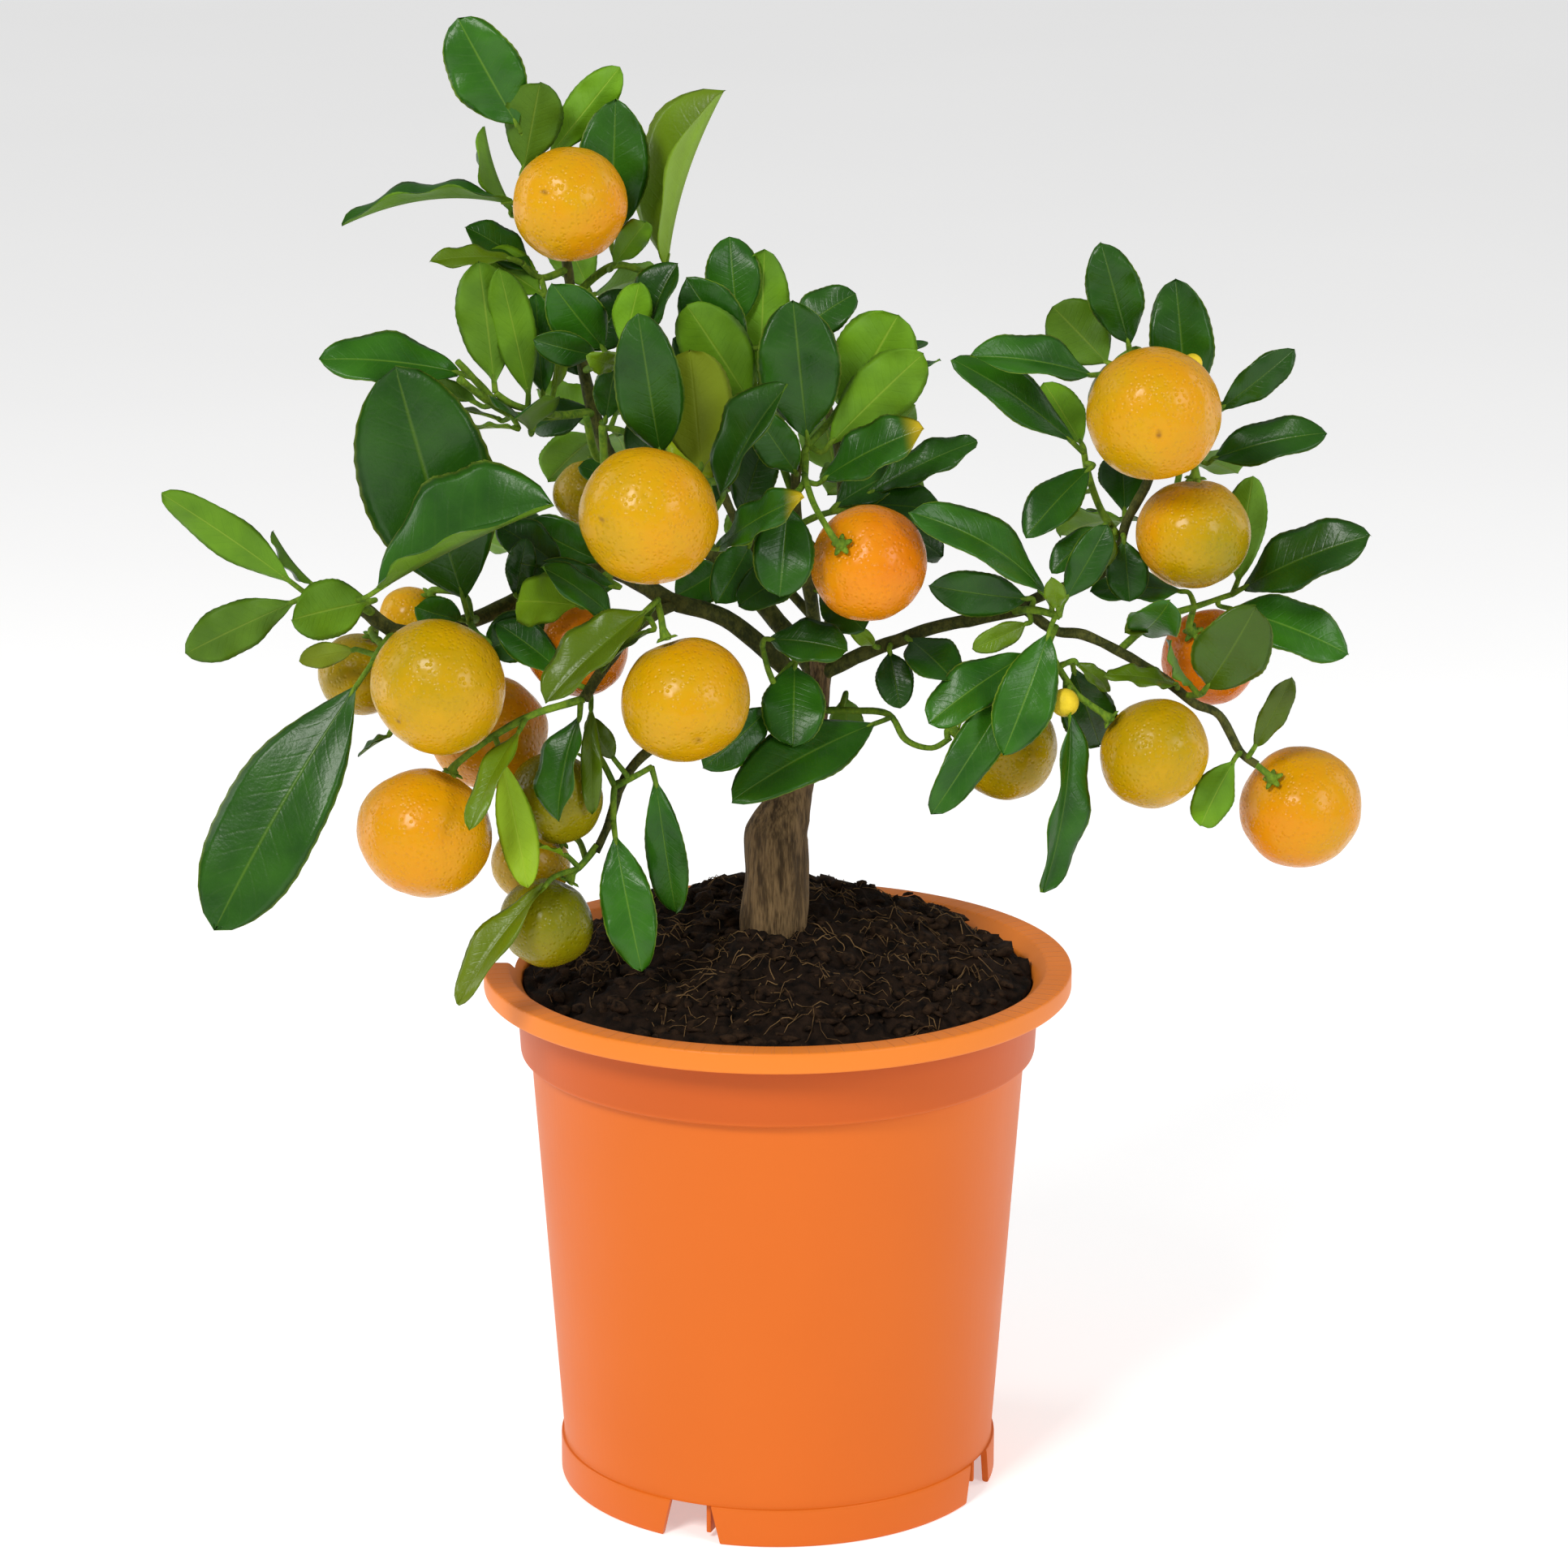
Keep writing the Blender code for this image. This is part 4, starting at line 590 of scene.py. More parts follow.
            Leaf((78, -9, 107), (73, -14, 99.5), 6, "F"),
            Leaf((73, -1, 115), (66, 6, 109), 8, "U"),
        ),
    ),
    "right_crown_shoot": Spray(
        "limb_right_up",
        (
            Twig(0.9, 0.7, ((84.7, 2.7, 142), (83.5, 2, 147.5), (79, -1, 146), (76, -4, 143))),
            Twig(0.8, 0.7, ((83.5, 1.8, 147.5), (85, -6, 147))),
        ),
        (
            Leaf((74.5, -5, 142), (43.6, -20, 150), 12, "UF", 0.5),
            Leaf((77, -1, 144), (63.5, 3, 157.5), 15, "B"),
            Leaf((81.5, 0, 147.5), (74, -4, 173.4), 13, "F"),
        ),
        (
            Stalk("fruit_right_top", ((84.7, -5, 147),)),
            Stalk("fruit_right_green", ((83.5, 2.2, 147), (84, 8, 144))),
        ),
    ),
    "right_top_shoot": Spray(
        "limb_right_up",
        (Twig(0.9, 0.7, ((87.2, -1.2, 124), (92.5, 0.5, 128), (97, -1, 132), (100, -3, 134))),),
        (
            Leaf((95, 1, 132), (91.5, 0, 164.5), 15, "F"),
            Leaf((101, -4, 134), (118.5, -8, 149.5), 8.5, "F"),
            Leaf((98, 0, 130), (107.9, 3, 135.3), 6, "U"),
            Leaf((99, 2, 121), (127, -3, 129), 12, "UF"),
        ),
        (Stalk("fruit_right_upper", ((93, 0.3, 128.4), (95.5, -9, 127))),),
    ),
    "right_middle_shoot": Spray(
        "right_down_spray",
        (Twig(1.0, 0.7, ((79, -13, 79.5), (84, -9, 83), (90, -6, 86), (98, -5, 88.5), (106, -4, 91))),),
        (
            Leaf((107, -4, 92), (110.4, 0, 118.3), 10, "B"),
            Leaf((106, -6, 91.5), (136, -18, 108), 16, "UF"),
            Leaf((96, -3, 91), (72.6, -6, 92), 11, "UUF", 0.1),
            Leaf((103, -3, 88), (133, -8, 77.5), 15, "UF"),
            Leaf((84, -11, 83.5), (89, -34, 96), 12, "F"),
            Leaf((90, -9, 86), (80, -18, 85), 6, "UF"),
        ),
        (Stalk("fruit_right_behind", ((97, -5, 88.2), (97, -1, 86))),),
    ),
    "back_left_shoot": Spray(
        "limb_back",
        (Twig(0.9, 0.7, ((-33, 37.8, 119.4), (-38, 41, 121), (-42, 44, 121))),),
        (
            Leaf((-42, 44, 121), (-58, 46, 130), 14, "BU"),
            Leaf((-39, 43, 120), (-36, 60, 108), 15, "BU"),
            Leaf((-40, 43, 122), (-28, 54, 136), 12, "BU"),
            Leaf((-42, 45, 120), (-56, 54, 106), 14, "BU"),
        ),
        (Stalk("fruit_back_left", ((-41, 43, 121), (-44, 37, 121))),),
    ),
    "back_middle_shoot": Spray(
        "limb_back",
        (Twig(1.0, 0.7, ((12.3, 39.4, 125.5), (10, 44, 129), (8, 48, 131))),),
        (
            Leaf((8, 49, 132), (-4, 58, 142), 13, "BU"),
            Leaf((10, 46, 131), (22, 54, 137), 13, "BU"),
            Leaf((12, 46, 128), (32, 54, 122), 13, "BU"),
            Leaf((8, 47, 128), (-12, 56, 118), 14, "BU"),
            Leaf((10, 46, 127), (14, 62, 106), 15, "BU"),
        ),
    ),
    "back_right_shoot": Spray(
        "limb_right_up",
        (Twig(0.9, 0.7, ((86.2, -2.2, 120), (92, 8, 120), (95, 16, 119.5), (96, 20, 118.5))),),
        (
            Leaf((96, 20, 119.5), (103, 36, 125), 12, "BU"),
            Leaf((94, 19, 119), (84, 36, 116), 12, "BU"),
            Leaf((97, 21, 118.5), (110, 33, 112), 12, "BU"),
        ),
        (Stalk("fruit_back_right", ((95.6, 19.5, 118.8),)),),
    ),
}


@dataclass(frozen=True)
class Ripeness:
    """How a fruit has coloured: 0 is green, 0.5 yellow, 0.75 orange, 1 red-orange."""

    ripe: float
    green_side: Place = (0, 0, 1)
    greening: float = 0.0
    scar: Place | None = None


RIPENESS = {
    "fruit_crown": Ripeness(0.58, (1, 0.2, -0.6), -0.12, (-0.43, -0.83, 0.34)),
    "fruit_centre_left": Ripeness(0.58, (-0.8, -0.4, 0.3), 0.07, (-0.62, -0.7, 0.1)),
    "fruit_far_left": Ripeness(0.46, (-0.3, -0.4, 0.8), 0.05),
    "fruit_left_upper": Ripeness(0.53, (-0.2, -0.6, 0.7), 0.06),
    "fruit_left_lower": Ripeness(0.6, (-0.6, -0.6, -0.2), -0.05),
    "fruit_left_behind": Ripeness(0.63),
    "fruit_left_hidden": Ripeness(0.55),
    "fruit_centre": Ripeness(0.71, (0.9, -0.3, 0.3), -0.12),
    "fruit_right_top": Ripeness(0.6, (-0.8, -0.4, -0.2), 0.06, (0.02, -0.95, -0.15)),
    "fruit_right_green": Ripeness(0.2),
    "fruit_right_upper": Ripeness(0.6, (0.55, -0.7, -0.15), 0.2),
    "fruit_right_behind": Ripeness(0.84),
    "fruit_right_middle": Ripeness(0.51, (-0.2, -0.5, 0.7), 0.06),
    "fruit_right_lower": Ripeness(0.61, (-0.7, -0.3, -0.6), -0.08),
    "fruit_right_inner": Ripeness(0.43, (0, 0, 1), 0.08),
    "fruit_front": Ripeness(0.56, (-0.9, -0.2, 0), 0.03, (0.2, -0.85, -0.45)),
    "fruit_inner_left": Ripeness(0.8),
    "fruit_hanging_olive": Ripeness(0.33, (-0.3, -0.5, 0.6), 0.08),
    "fruit_hanging_back": Ripeness(0.46),
    "fruit_hanging_tip": Ripeness(0.3, (0.5, -0.4, 0.7), 0.1),
    "fruit_back_left": Ripeness(0.42),
    "fruit_back_right": Ripeness(0.55),
}


# How pale the young and the ageing leaves are, by their tips; at 1 only the tip has yellowed. One entry also
# stands for painted sheen.
PALE_LEAVES = {
    (-19.7, -30, 153.4): 0.85,
    (-24, -10, 136): 0.8,
    # Painted sheen in part: the crown's big top leaf is paled to stand for the sheen on it.
    (-12.1, 0, 207.8): 0.3,
    (-109.6, -27, 80.6): 0.8,
    (-56.5, -53, 34): 0.4,
    (-69, -62, 50): 0.3,
    (-73, -52, 6): 0.5,
    (-52, -52, 76.8): 0.3,
    (-58.8, -44, 98.5): 0.2,
    (119, -16, 74): 0.3,
    (109, -30, 94): 0.15,
    (33, -34, 136): 1.0,
    (6, -52, 124): 1.0,
}


# ---------------------------------------------------------------- shader building


# A colour mix node's inputs by index: its factor, its first colour and its second.
MIX_SOCKETS = (0, 6, 7)


class Shader:
    """A material's node tree while it is being wired."""

    def __init__(self, name: str) -> None:
        """Start a material with a Principled BSDF.

        Args:
            name: The material's name.
        """
        self.material = bpy.data.materials.new(name)
        self.material.use_nodes = True
        self.tree = self.material.node_tree
        self.bsdf = self.tree.nodes["Principled BSDF"]

    def put(self, socket: Socket, value: object) -> None:
        """Link a socket into another, or set it to a plain value.

        Args:
            socket: The input to fill.
            value: An output to link, or a plain value.
        """
        if isinstance(value, Socket):
            self.tree.links.new(value, socket)
        elif isinstance(value, tuple) and socket.type == "RGBA":
            socket.default_value = (*value, 1.0)
        else:
            socket.default_value = value

    def node(self, kind: str, **values: object) -> bpy.types.Node:
        """Add a node and fill the inputs that are named.

        Args:
            kind: The node's type.
            **values: A value or an output for each input, its name's spaces as underscores.

        Returns:
            The node.
        """
        made = self.tree.nodes.new(kind)
        for name, value in values.items():
            self.put(made.inputs[name.replace("_", " ")], value)
        return made

    def finish(self, **values: object) -> Material:
        """Fill the Principled BSDF's inputs that are named.

        Args:
            **values: A value or an output for each input, its name's spaces as underscores.

        Returns:
            The finished material.
        """
        for name, value in values.items():
            self.put(self.bsdf.inputs[name.replace("_", " ")], value)
        return self.material

    def math(self, operation: str, *values: object) -> Socket:
        """Return the result of a Math node.

        Args:
            operation: What the node works out.
            *values: Its inputs, in order.

        Returns:
            The node's output.
        """
        made = self.tree.nodes.new("ShaderNodeMath")
        made.operation = operation
        for socket, value in zip(made.inputs, values):
            self.put(socket, value)
        return made.outputs[0]

    def blend(self, factor: object, first: object, second: object) -> Socket:
        """Return a mix of two colours.

        Args:
            factor: How much of the second.
            first: The colour at 0.
            second: The colour at 1.

        Returns:
            The mixed colour's output.
        """
        made = self.tree.nodes.new("ShaderNodeMix")
        made.data_type = "RGBA"
        for index, value in zip(MIX_SOCKETS, (factor, first, second)):
            self.put(made.inputs[index], value)
        return made.outputs[2]

    def step(self, value: object, low: float, high: float, smooth: bool = True) -> Socket:
        """Return 0 at low, 1 at high and a step between them.

        Args:
            value: What is compared.
            low: Where the result is 0; it may lie above high.
            high: Where the result is 1.
            smooth: Whether the step eases in and out.

        Returns:
            The step's output.
        """
        made = self.tree.nodes.new("ShaderNodeMapRange")
        made.interpolation_type = "SMOOTHSTEP" if smooth else "LINEAR"
        self.put(made.inputs["Value"], value)
        made.inputs["From Min"].default_value = min(low, high)
        made.inputs["From Max"].default_value = max(low, high)
        made.inputs["To Min"].default_value = 0.0 if low < high else 1.0
        made.inputs["To Max"].default_value = 1.0 if low < high else 0.0
        return made.outputs["Result"]

    def ramp(self, value: object, stops: Sequence[tuple[float, Colour]]) -> Socket:
        """Return a colour ramp of a value.

        Args:
            value: What the ramp reads.
            stops: Its positions and colours, in order.

        Returns:
            The ramp's colour.
        """
        made = self.tree.nodes.new("ShaderNodeValToRGB")
        self.put(made.inputs["Fac"], value)
        elements = made.color_ramp.elements
        while len(elements) < len(stops):
            elements.new(0.5)
        for element, (position, colour) in zip(elements, stops):
            element.position = position
            element.color = (*colour, 1.0)
        return made.outputs["Color"]

    def place(self, stretch: Place = (1, 1, 1)) -> Socket:
        """Return the object coordinates.

        Args:
            stretch: How much they are scaled along each axis.

        Returns:
            The scaled coordinates.
        """
        coordinates = self.tree.nodes.new("ShaderNodeTexCoord")
        mapping = self.tree.nodes.new("ShaderNodeMapping")
        mapping.inputs["Scale"].default_value = stretch
        self.tree.links.new(coordinates.outputs["Object"], mapping.inputs["Vector"])
        return mapping.outputs["Vector"]

    def noise(self, scale: float, detail: float = 3.0, stretch: Place = (1, 1, 1)) -> Socket:
        """Return a noise value on the object coordinates.

        Args:
            scale: Features to the metre.
            detail: Octaves of finer noise.
            stretch: How much the coordinates are scaled along each axis.

        Returns:
            The noise's value.
        """
        made = self.node("ShaderNodeTexNoise", Vector=self.place(stretch), Scale=scale, Detail=detail)
        return made.outputs[0]

    def group(self, tree: NodeTree, **values: object) -> bpy.types.Node:
        """Add a node group and fill the inputs that are named.

        Args:
            tree: The group.
            **values: A value or an output for each input.

        Returns:
            The group's node.
        """
        made = self.tree.nodes.new("ShaderNodeGroup")
        made.node_tree = tree
        for name, value in values.items():
            self.put(made.inputs[name], value)
        return made

    def split(self, colour: object) -> bpy.types.Node:
        """Return a Separate Color node of a colour."""
        return self.node("ShaderNodeSeparateColor", Color=colour)

    def attribute(self, name: str) -> Socket:
        """Return a colour attribute of the mesh.

        Args:
            name: The attribute's name.

        Returns:
            Its colour.
        """
        made = self.tree.nodes.new("ShaderNodeAttribute")
        made.attribute_name = name
        return made.outputs["Color"]

    def bump(self, height: object, strength: float, distance: float, under: object = None) -> Socket:
        """Return the normal of a Bump node.

        Args:
            height: The relief.
            strength: The node's strength.
            distance: How high the relief is, in metres.
            under: Another normal that it lies on.

        Returns:
            The bumped normal.
        """
        made = self.node("ShaderNodeBump", Strength=strength, Distance=distance, Height=height)
        if under is not None:
            self.put(made.inputs["Normal"], under)
        return made.outputs["Normal"]


class Patterns:
    """The node groups that several finishes use, each built once."""

    made: dict[str, NodeTree] = {}

    @classmethod
    def mottle(cls) -> NodeTree:
        """Return the group that mixes two colours in soft patches.

        Returns:
            A group with First, Second, Scale and Spread in, and Colour and Value out.
        """
        if "mottle" in cls.made:
            return cls.made["mottle"]
        tree = bpy.data.node_groups.new("mottle", "ShaderNodeTree")
        inputs = (("First", "Color"), ("Second", "Color"), ("Scale", "Float"), ("Spread", "Float"))
        for name, kind in inputs:
            tree.interface.new_socket(name, in_out="INPUT", socket_type="NodeSocket" + kind)
        for name, kind in (("Colour", "Color"), ("Value", "Float")):
            tree.interface.new_socket(name, in_out="OUTPUT", socket_type="NodeSocket" + kind)
        nodes, links = tree.nodes, tree.links
        given = nodes.new("NodeGroupInput")
        result = nodes.new("NodeGroupOutput")
        coordinates = nodes.new("ShaderNodeTexCoord")
        cloud = nodes.new("ShaderNodeTexNoise")
        cloud.inputs["Detail"].default_value = 4.0
        links.new(coordinates.outputs["Object"], cloud.inputs["Vector"])
        links.new(given.outputs["Scale"], cloud.inputs["Scale"])
        limits = nodes.new("ShaderNodeMapRange")
        links.new(cloud.outputs[0], limits.inputs["Value"])
        for operation, limit in (("SUBTRACT", "From Min"), ("ADD", "From Max")):
            shift = nodes.new("ShaderNodeMath")
            shift.operation = operation
            shift.inputs[0].default_value = 0.5
            links.new(given.outputs["Spread"], shift.inputs[1])
            links.new(shift.outputs[0], limits.inputs[limit])
        mix = nodes.new("ShaderNodeMix")
        mix.data_type = "RGBA"
        sources = (limits.outputs["Result"], given.outputs["First"], given.outputs["Second"])
        for index, source in zip(MIX_SOCKETS, sources):
            links.new(source, mix.inputs[index])
        links.new(mix.outputs[2], result.inputs["Colour"])
        links.new(limits.outputs["Result"], result.inputs["Value"])
        cls.made["mottle"] = tree
        return tree


@dataclass(frozen=True)
class PotPlastic:
    """Moulded orange plastic: satin, a collar darkened with painted shade, a lip under the rim brightened
    with painted light, and fine radial marks on the rim's flat top.
    """

    rim: float
    ledge: float
    skirt_foot: float
    wall: Colour = (0.625, 0.132, 0.009)
    wall_deep: Colour = (0.585, 0.115, 0.007)
    # collar: the wall's colour darkened as painted shade on the collar band under the rim.
    collar: Colour = (0.50, 0.088, 0.007)
    # lip: a brighter colour painted on the rim's outer skirt as painted light.
    lip_painted_light: Colour = (0.72, 0.195, 0.020)
    marks: int = 110

    def build(self) -> Material:
        """Return the material."""
        paint = Shader("pot_plastic")
        where = paint.node("ShaderNodeSeparateXYZ", Vector=paint.place())
        height = where.outputs["Z"]
        mottle = Patterns.mottle()
        wall = paint.group(mottle, First=self.wall, Second=self.wall_deep, Scale=14.0, Spread=0.35)
        # Painted shade: the collar above the ledge takes the darker collar colour.
        painted_shade_collar_mask = paint.step(height, self.ledge - 1.0 * MM, self.ledge + 1.5 * MM)
        body = paint.blend(painted_shade_collar_mask, wall.outputs["Colour"], self.collar)
        # Painted light: the rim's outer skirt above the skirt's foot takes the brighter lip colour.
        painted_light_lip_mask = paint.step(height, self.skirt_foot - 0.4 * MM, self.skirt_foot + 0.4 * MM)
        around = paint.math("ARCTAN2", where.outputs["Y"], where.outputs["X"])
        wave = paint.math("SINE", paint.math("MULTIPLY", around, float(self.marks)))
        on_top = paint.step(height, self.rim - 0.4 * MM, self.rim - 0.1 * MM)
        marks = paint.math("MULTIPLY", paint.step(wave, 0.75, 0.98), on_top)
        ridged = paint.bump(marks, 0.5, 0.3 * MM)
        grain = paint.noise(900.0, 2.0, (1, 1, 0.15))
        smudge = paint.noise(30.0, 4.0)
        return paint.finish(
            Base_Color=paint.blend(painted_light_lip_mask, body, self.lip_painted_light),
            Roughness=paint.math("ADD", 0.36, paint.math("MULTIPLY", smudge, 0.16)),
            Normal=paint.bump(grain, 0.12, 0.15 * MM, ridged),
            Specular_IOR_Level=0.22,
        )


@dataclass(frozen=True)
class Foliage:
    """Citrus leaf: glossy deep green above, matt yellow-green below, with veins and a pale margin."""

    upper: Colour = (0.026, 0.110, 0.004)
    upper_deep: Colour = (0.007, 0.046, 0.002)
    lower: Colour = (0.120, 0.265, 0.004)
    lower_deep: Colour = (0.062, 0.155, 0.002)
    midrib: Colour = (0.15, 0.27, 0.02)
    margin: Colour = (0.25, 0.36, 0.03)
    pale: Colour = (0.270, 0.350, 0.005)
    yellowed: Colour = (0.60, 0.42, 0.01)
    veins: float = 13.0

    def build(self) -> Material:
        """Return the material; it reads the blade's UV map and the leaf_data attribute."""
        paint = Shader("foliage")
        chart = paint.tree.nodes.new("ShaderNodeUVMap")
        chart.uv_map = "blade"
        where = paint.node("ShaderNodeSeparateXYZ", Vector=chart.outputs["UV"])
        across = paint.math("ABSOLUTE", paint.math("MULTIPLY_ADD", where.outputs["X"], 2.0, -1.0))
        along = where.outputs["Y"]
        data = paint.split(paint.attribute("leaf_data"))
        side, tone, pale = data.outputs[0], data.outputs[1], data.outputs[2]
        rib = paint.step(across, 0.05, 0.0)
        lean = paint.math("MULTIPLY_ADD", across, -0.16, along)
        ripple = paint.math("FRACT", paint.math("MULTIPLY", lean, self.veins))
        crest = paint.step(paint.math("ABSOLUTE", paint.math("SUBTRACT", ripple, 0.5)), 0.13, 0.0)
        fade = paint.step(across, 0.95, 0.3)
        vein = paint.math("MULTIPLY", crest, fade)
        edge = paint.step(across, 0.93, 1.0)
        mottle = Patterns.mottle()
        above = paint.group(mottle, First=self.upper, Second=self.upper_deep, Scale=90.0, Spread=0.3)
        top = above.outputs["Colour"]
        top = paint.blend(paint.math("MULTIPLY", vein, 0.02), top, self.midrib)
        top = paint.blend(paint.math("MULTIPLY", rib, 0.32), top, self.midrib)
        top = paint.blend(paint.math("MULTIPLY", edge, 0.55), top, self.margin)
        below = paint.group(mottle, First=self.lower, Second=self.lower_deep, Scale=120.0, Spread=0.3)
        base = below.outputs["Colour"]
        base = paint.blend(paint.math("MULTIPLY", vein, 0.15), base, self.lower_deep)
        base = paint.blend(paint.math("MULTIPLY", rib, 0.5), base, self.margin)
        colour = paint.blend(side, top, base)
        whole = paint.math("MULTIPLY", pale, paint.math("LESS_THAN", pale, 0.9))
        colour = paint.blend(whole, colour, self.pale)
        tipward = paint.math("MULTIPLY", paint.step(along, 0.8, 1.0), paint.math("GREATER_THAN", pale, 0.9))
        colour = paint.blend(paint.math("MULTIPLY", tipward, 0.8), colour, self.yellowed)
        depth = paint.math("MULTIPLY_ADD", tone, 0.75, 0.62)
        shade = paint.node("ShaderNodeHueSaturation", Color=colour, Value=depth)
        rough = paint.math("MULTIPLY_ADD", side, 0.26, 0.27)
        relief = paint.math("ADD", paint.math("MULTIPLY", vein, -0.18), paint.math("MULTIPLY", rib, -0.6))
        relief = paint.math("ADD", relief, paint.math("MULTIPLY", paint.noise(1100.0, 2.0), 0.6))
        return paint.finish(
            Base_Color=shade.outputs["Color"],
            Roughness=paint.math("ADD", rough, paint.math("MULTIPLY", paint.noise(220.0), 0.1)),
            Normal=paint.bump(relief, 0.45, 0.3 * MM),
            Specular_IOR_Level=0.25,
        )


@dataclass(frozen=True)
class Bark:
    """Bark or green stem: two colours in streaks, with fissures."""

    name: str
    light: Colour
    dark: Colour
    streak: float
    relief: float
    upright: float = 0.25

    def build(self) -> Material:
        """Return the material."""
        paint = Shader(self.name)
        stretch = (1.0, 1.0, self.upright)
        coarse = paint.noise(self.streak, 6.0, stretch)
        fine = paint.noise(self.streak * 4, 4.0, stretch)
        mixed = paint.math("ADD", paint.math("MULTIPLY", coarse, 0.65), paint.math("MULTIPLY", fine, 0.35))
        colour = paint.blend(paint.step(mixed, 0.36, 0.66), self.dark, self.light)
        patch = paint.group(Patterns.mottle(), First=(0, 0, 0), Second=(1, 1, 1), Scale=60.0, Spread=0.2)
        lifted = paint.math("MULTIPLY", patch.outputs["Value"], 0.3)
        return paint.finish(
            Base_Color=paint.blend(lifted, colour, self.light),
            Roughness=paint.math("MULTIPLY_ADD", fine, 0.25, 0.6),
            Normal=paint.bump(mixed, 0.8, self.relief),
            Specular_IOR_Level=0.15,
        )


@dataclass(frozen=True)
class Peel:
    """Citrus peel: colour by ripeness, oil pores, a soft gloss and a dark style scar."""

    green: Colour = (0.070, 0.105, 0.002)
    olive: Colour = (0.25, 0.205, 0.001)
    yellow: Colour = (0.53, 0.285, 0.001)
    orange: Colour = (0.66, 0.220, 0.002)
    deep: Colour = (0.56, 0.095, 0.002)
    scar: Colour = (0.10, 0.035, 0.01)
    stops: tuple[float, ...] = (0.1, 0.36, 0.54, 0.72, 0.95)
    pores: float = 900.0

    def build(self) -> Material:
        """Return the material; it reads ripeness and scars from the peel_data attribute."""
        paint = Shader("peel")
        data = paint.split(paint.attribute("peel_data"))
        cloud = paint.math("MULTIPLY_ADD", paint.noise(70.0, 4.0), 0.08, -0.04)
        freckle = paint.math("MULTIPLY_ADD", paint.noise(700.0, 2.0), 0.06, -0.03)
        ripe = paint.math("ADD", paint.math("ADD", data.outputs[0], cloud), freckle)
        colours = (self.green, self.olive, self.yellow, self.orange, self.deep)
        skin = paint.ramp(ripe, list(zip(self.stops, colours)))
        cells = paint.node("ShaderNodeTexVoronoi", Vector=paint.place(), Scale=self.pores)
        pit = paint.step(cells.outputs["Distance"], 0.5, 0.0)
        skin = paint.blend(paint.math("MULTIPLY", pit, 0.03), skin, self.olive)
        skin = paint.blend(paint.math("MULTIPLY", data.outputs[1], 0.75), skin, self.scar)
        dents = paint.bump(paint.math("MULTIPLY", pit, -1.0), 0.6, 0.24 * MM)
        return paint.finish(
            Base_Color=skin,
            Roughness=paint.math("MULTIPLY_ADD", pit, 0.10, 0.26),
            Normal=paint.bump(paint.noise(330.0, 1.0), 0.45, 0.6 * MM, dents),
            Specular_IOR_Level=0.2,
            Subsurface_Weight=0.06,
            Subsurface_Radius=(3.0 * MM, 1.5 * MM, 0.5 * MM),
        )


@dataclass(frozen=True)
class Loam:
    """Peat and bark mix, or what lies in it."""

    name: str
    light: Colour
    dark: Colour
    scale: float = 320.0
    roughness: float = 0.92

    def build(self) -> Material:
        """Return the material."""
        paint = Shader(self.name)
        grain = paint.noise(self.scale, 8.0)
        mottle = Patterns.mottle()
        patch = paint.group(mottle, First=self.dark, Second=self.light, Scale=self.scale, Spread=0.16)
        return paint.finish(
            Base_Color=patch.outputs["Colour"],
            Roughness=paint.math("MULTIPLY_ADD", grain, 0.16, self.roughness - 0.12),
            Normal=paint.bump(grain, 0.9, 1.2 * MM),
            Specular_IOR_Level=0.08,
        )


# ---------------------------------------------------------------- mesh helpers


def piece_from(name: str, form: Form, materials: Iterable[Material]) -> bpy.types.Object:
    """Turn a bmesh into a smooth object at the origin.

    Args:
        name: The object's name.
        form: The bmesh, which is freed.
        materials: The material slots in order.

    Returns:
        The new object, linked into the scene.
    """
    mesh = bpy.data.meshes.new(name)
    form.to_mesh(mesh)
    form.free()
    for material in materials:
        mesh.materials.append(material)
    mesh.shade_smooth()
    made = bpy.data.objects.new(name, mesh)
    bpy.context.scene.collection.objects.link(made)
    LOG.info("%s: %d faces", name, len(mesh.polygons))
    return made


def add_form(target: Form, form: Form, slot: int) -> None:
    """Add a small bmesh to a larger one with a material slot, and free the small one."""
    for face in form.faces:
        face.material_index = slot
    mesh = bpy.data.meshes.new("part")
    form.to_mesh(mesh)
    form.free()
    target.from_mesh(mesh)
    bpy.data.meshes.remove(mesh)


def turn(form: Form, matrix: Matrix) -> None:
    """Rotate a bmesh about the origin."""
    bmesh.ops.rotate(form, verts=form.verts, cent=(0, 0, 0), matrix=matrix)


def plant_point(place: Place, rim: float) -> Vector:
    """Turn a place in the plant's millimetres into a point in metres, with the rim's height."""
    return Vector((place[0] * MM, place[1] * MM, place[2] * MM + rim))


def smooth_path(
    points: Sequence[Vector], radii: Sequence[float], steps: int
) -> tuple[list[Vector], list[float]]:
    """Round a path with a Catmull-Rom curve.

    Args:
        points: The path's own points, which the curve passes.
        radii: A radius at each point.
        steps: How many stretches lie between two points.

    Returns:
        The finer points and their radii.
    """
    fine: list[Vector] = []
    widths: list[float] = []
    last = len(points) - 1
    for index in range(last):
        a, b = points[max(index - 1, 0)], points[index]
        c, d = points[index + 1], points[min(index + 2, last)]
        for step in range(steps):
            t = step / steps
            square, cube = a * 2 - b * 5 + c * 4 - d, b * 3 - a - c * 3 + d
            fine.append((b * 2 + (c - a) * t + square * t**2 + cube * t**3) * 0.5)
            widths.append(radii[index] + (radii[index + 1] - radii[index]) * t)
    fine.append(points[-1].copy())
    widths.append(radii[-1])
    return fine, widths


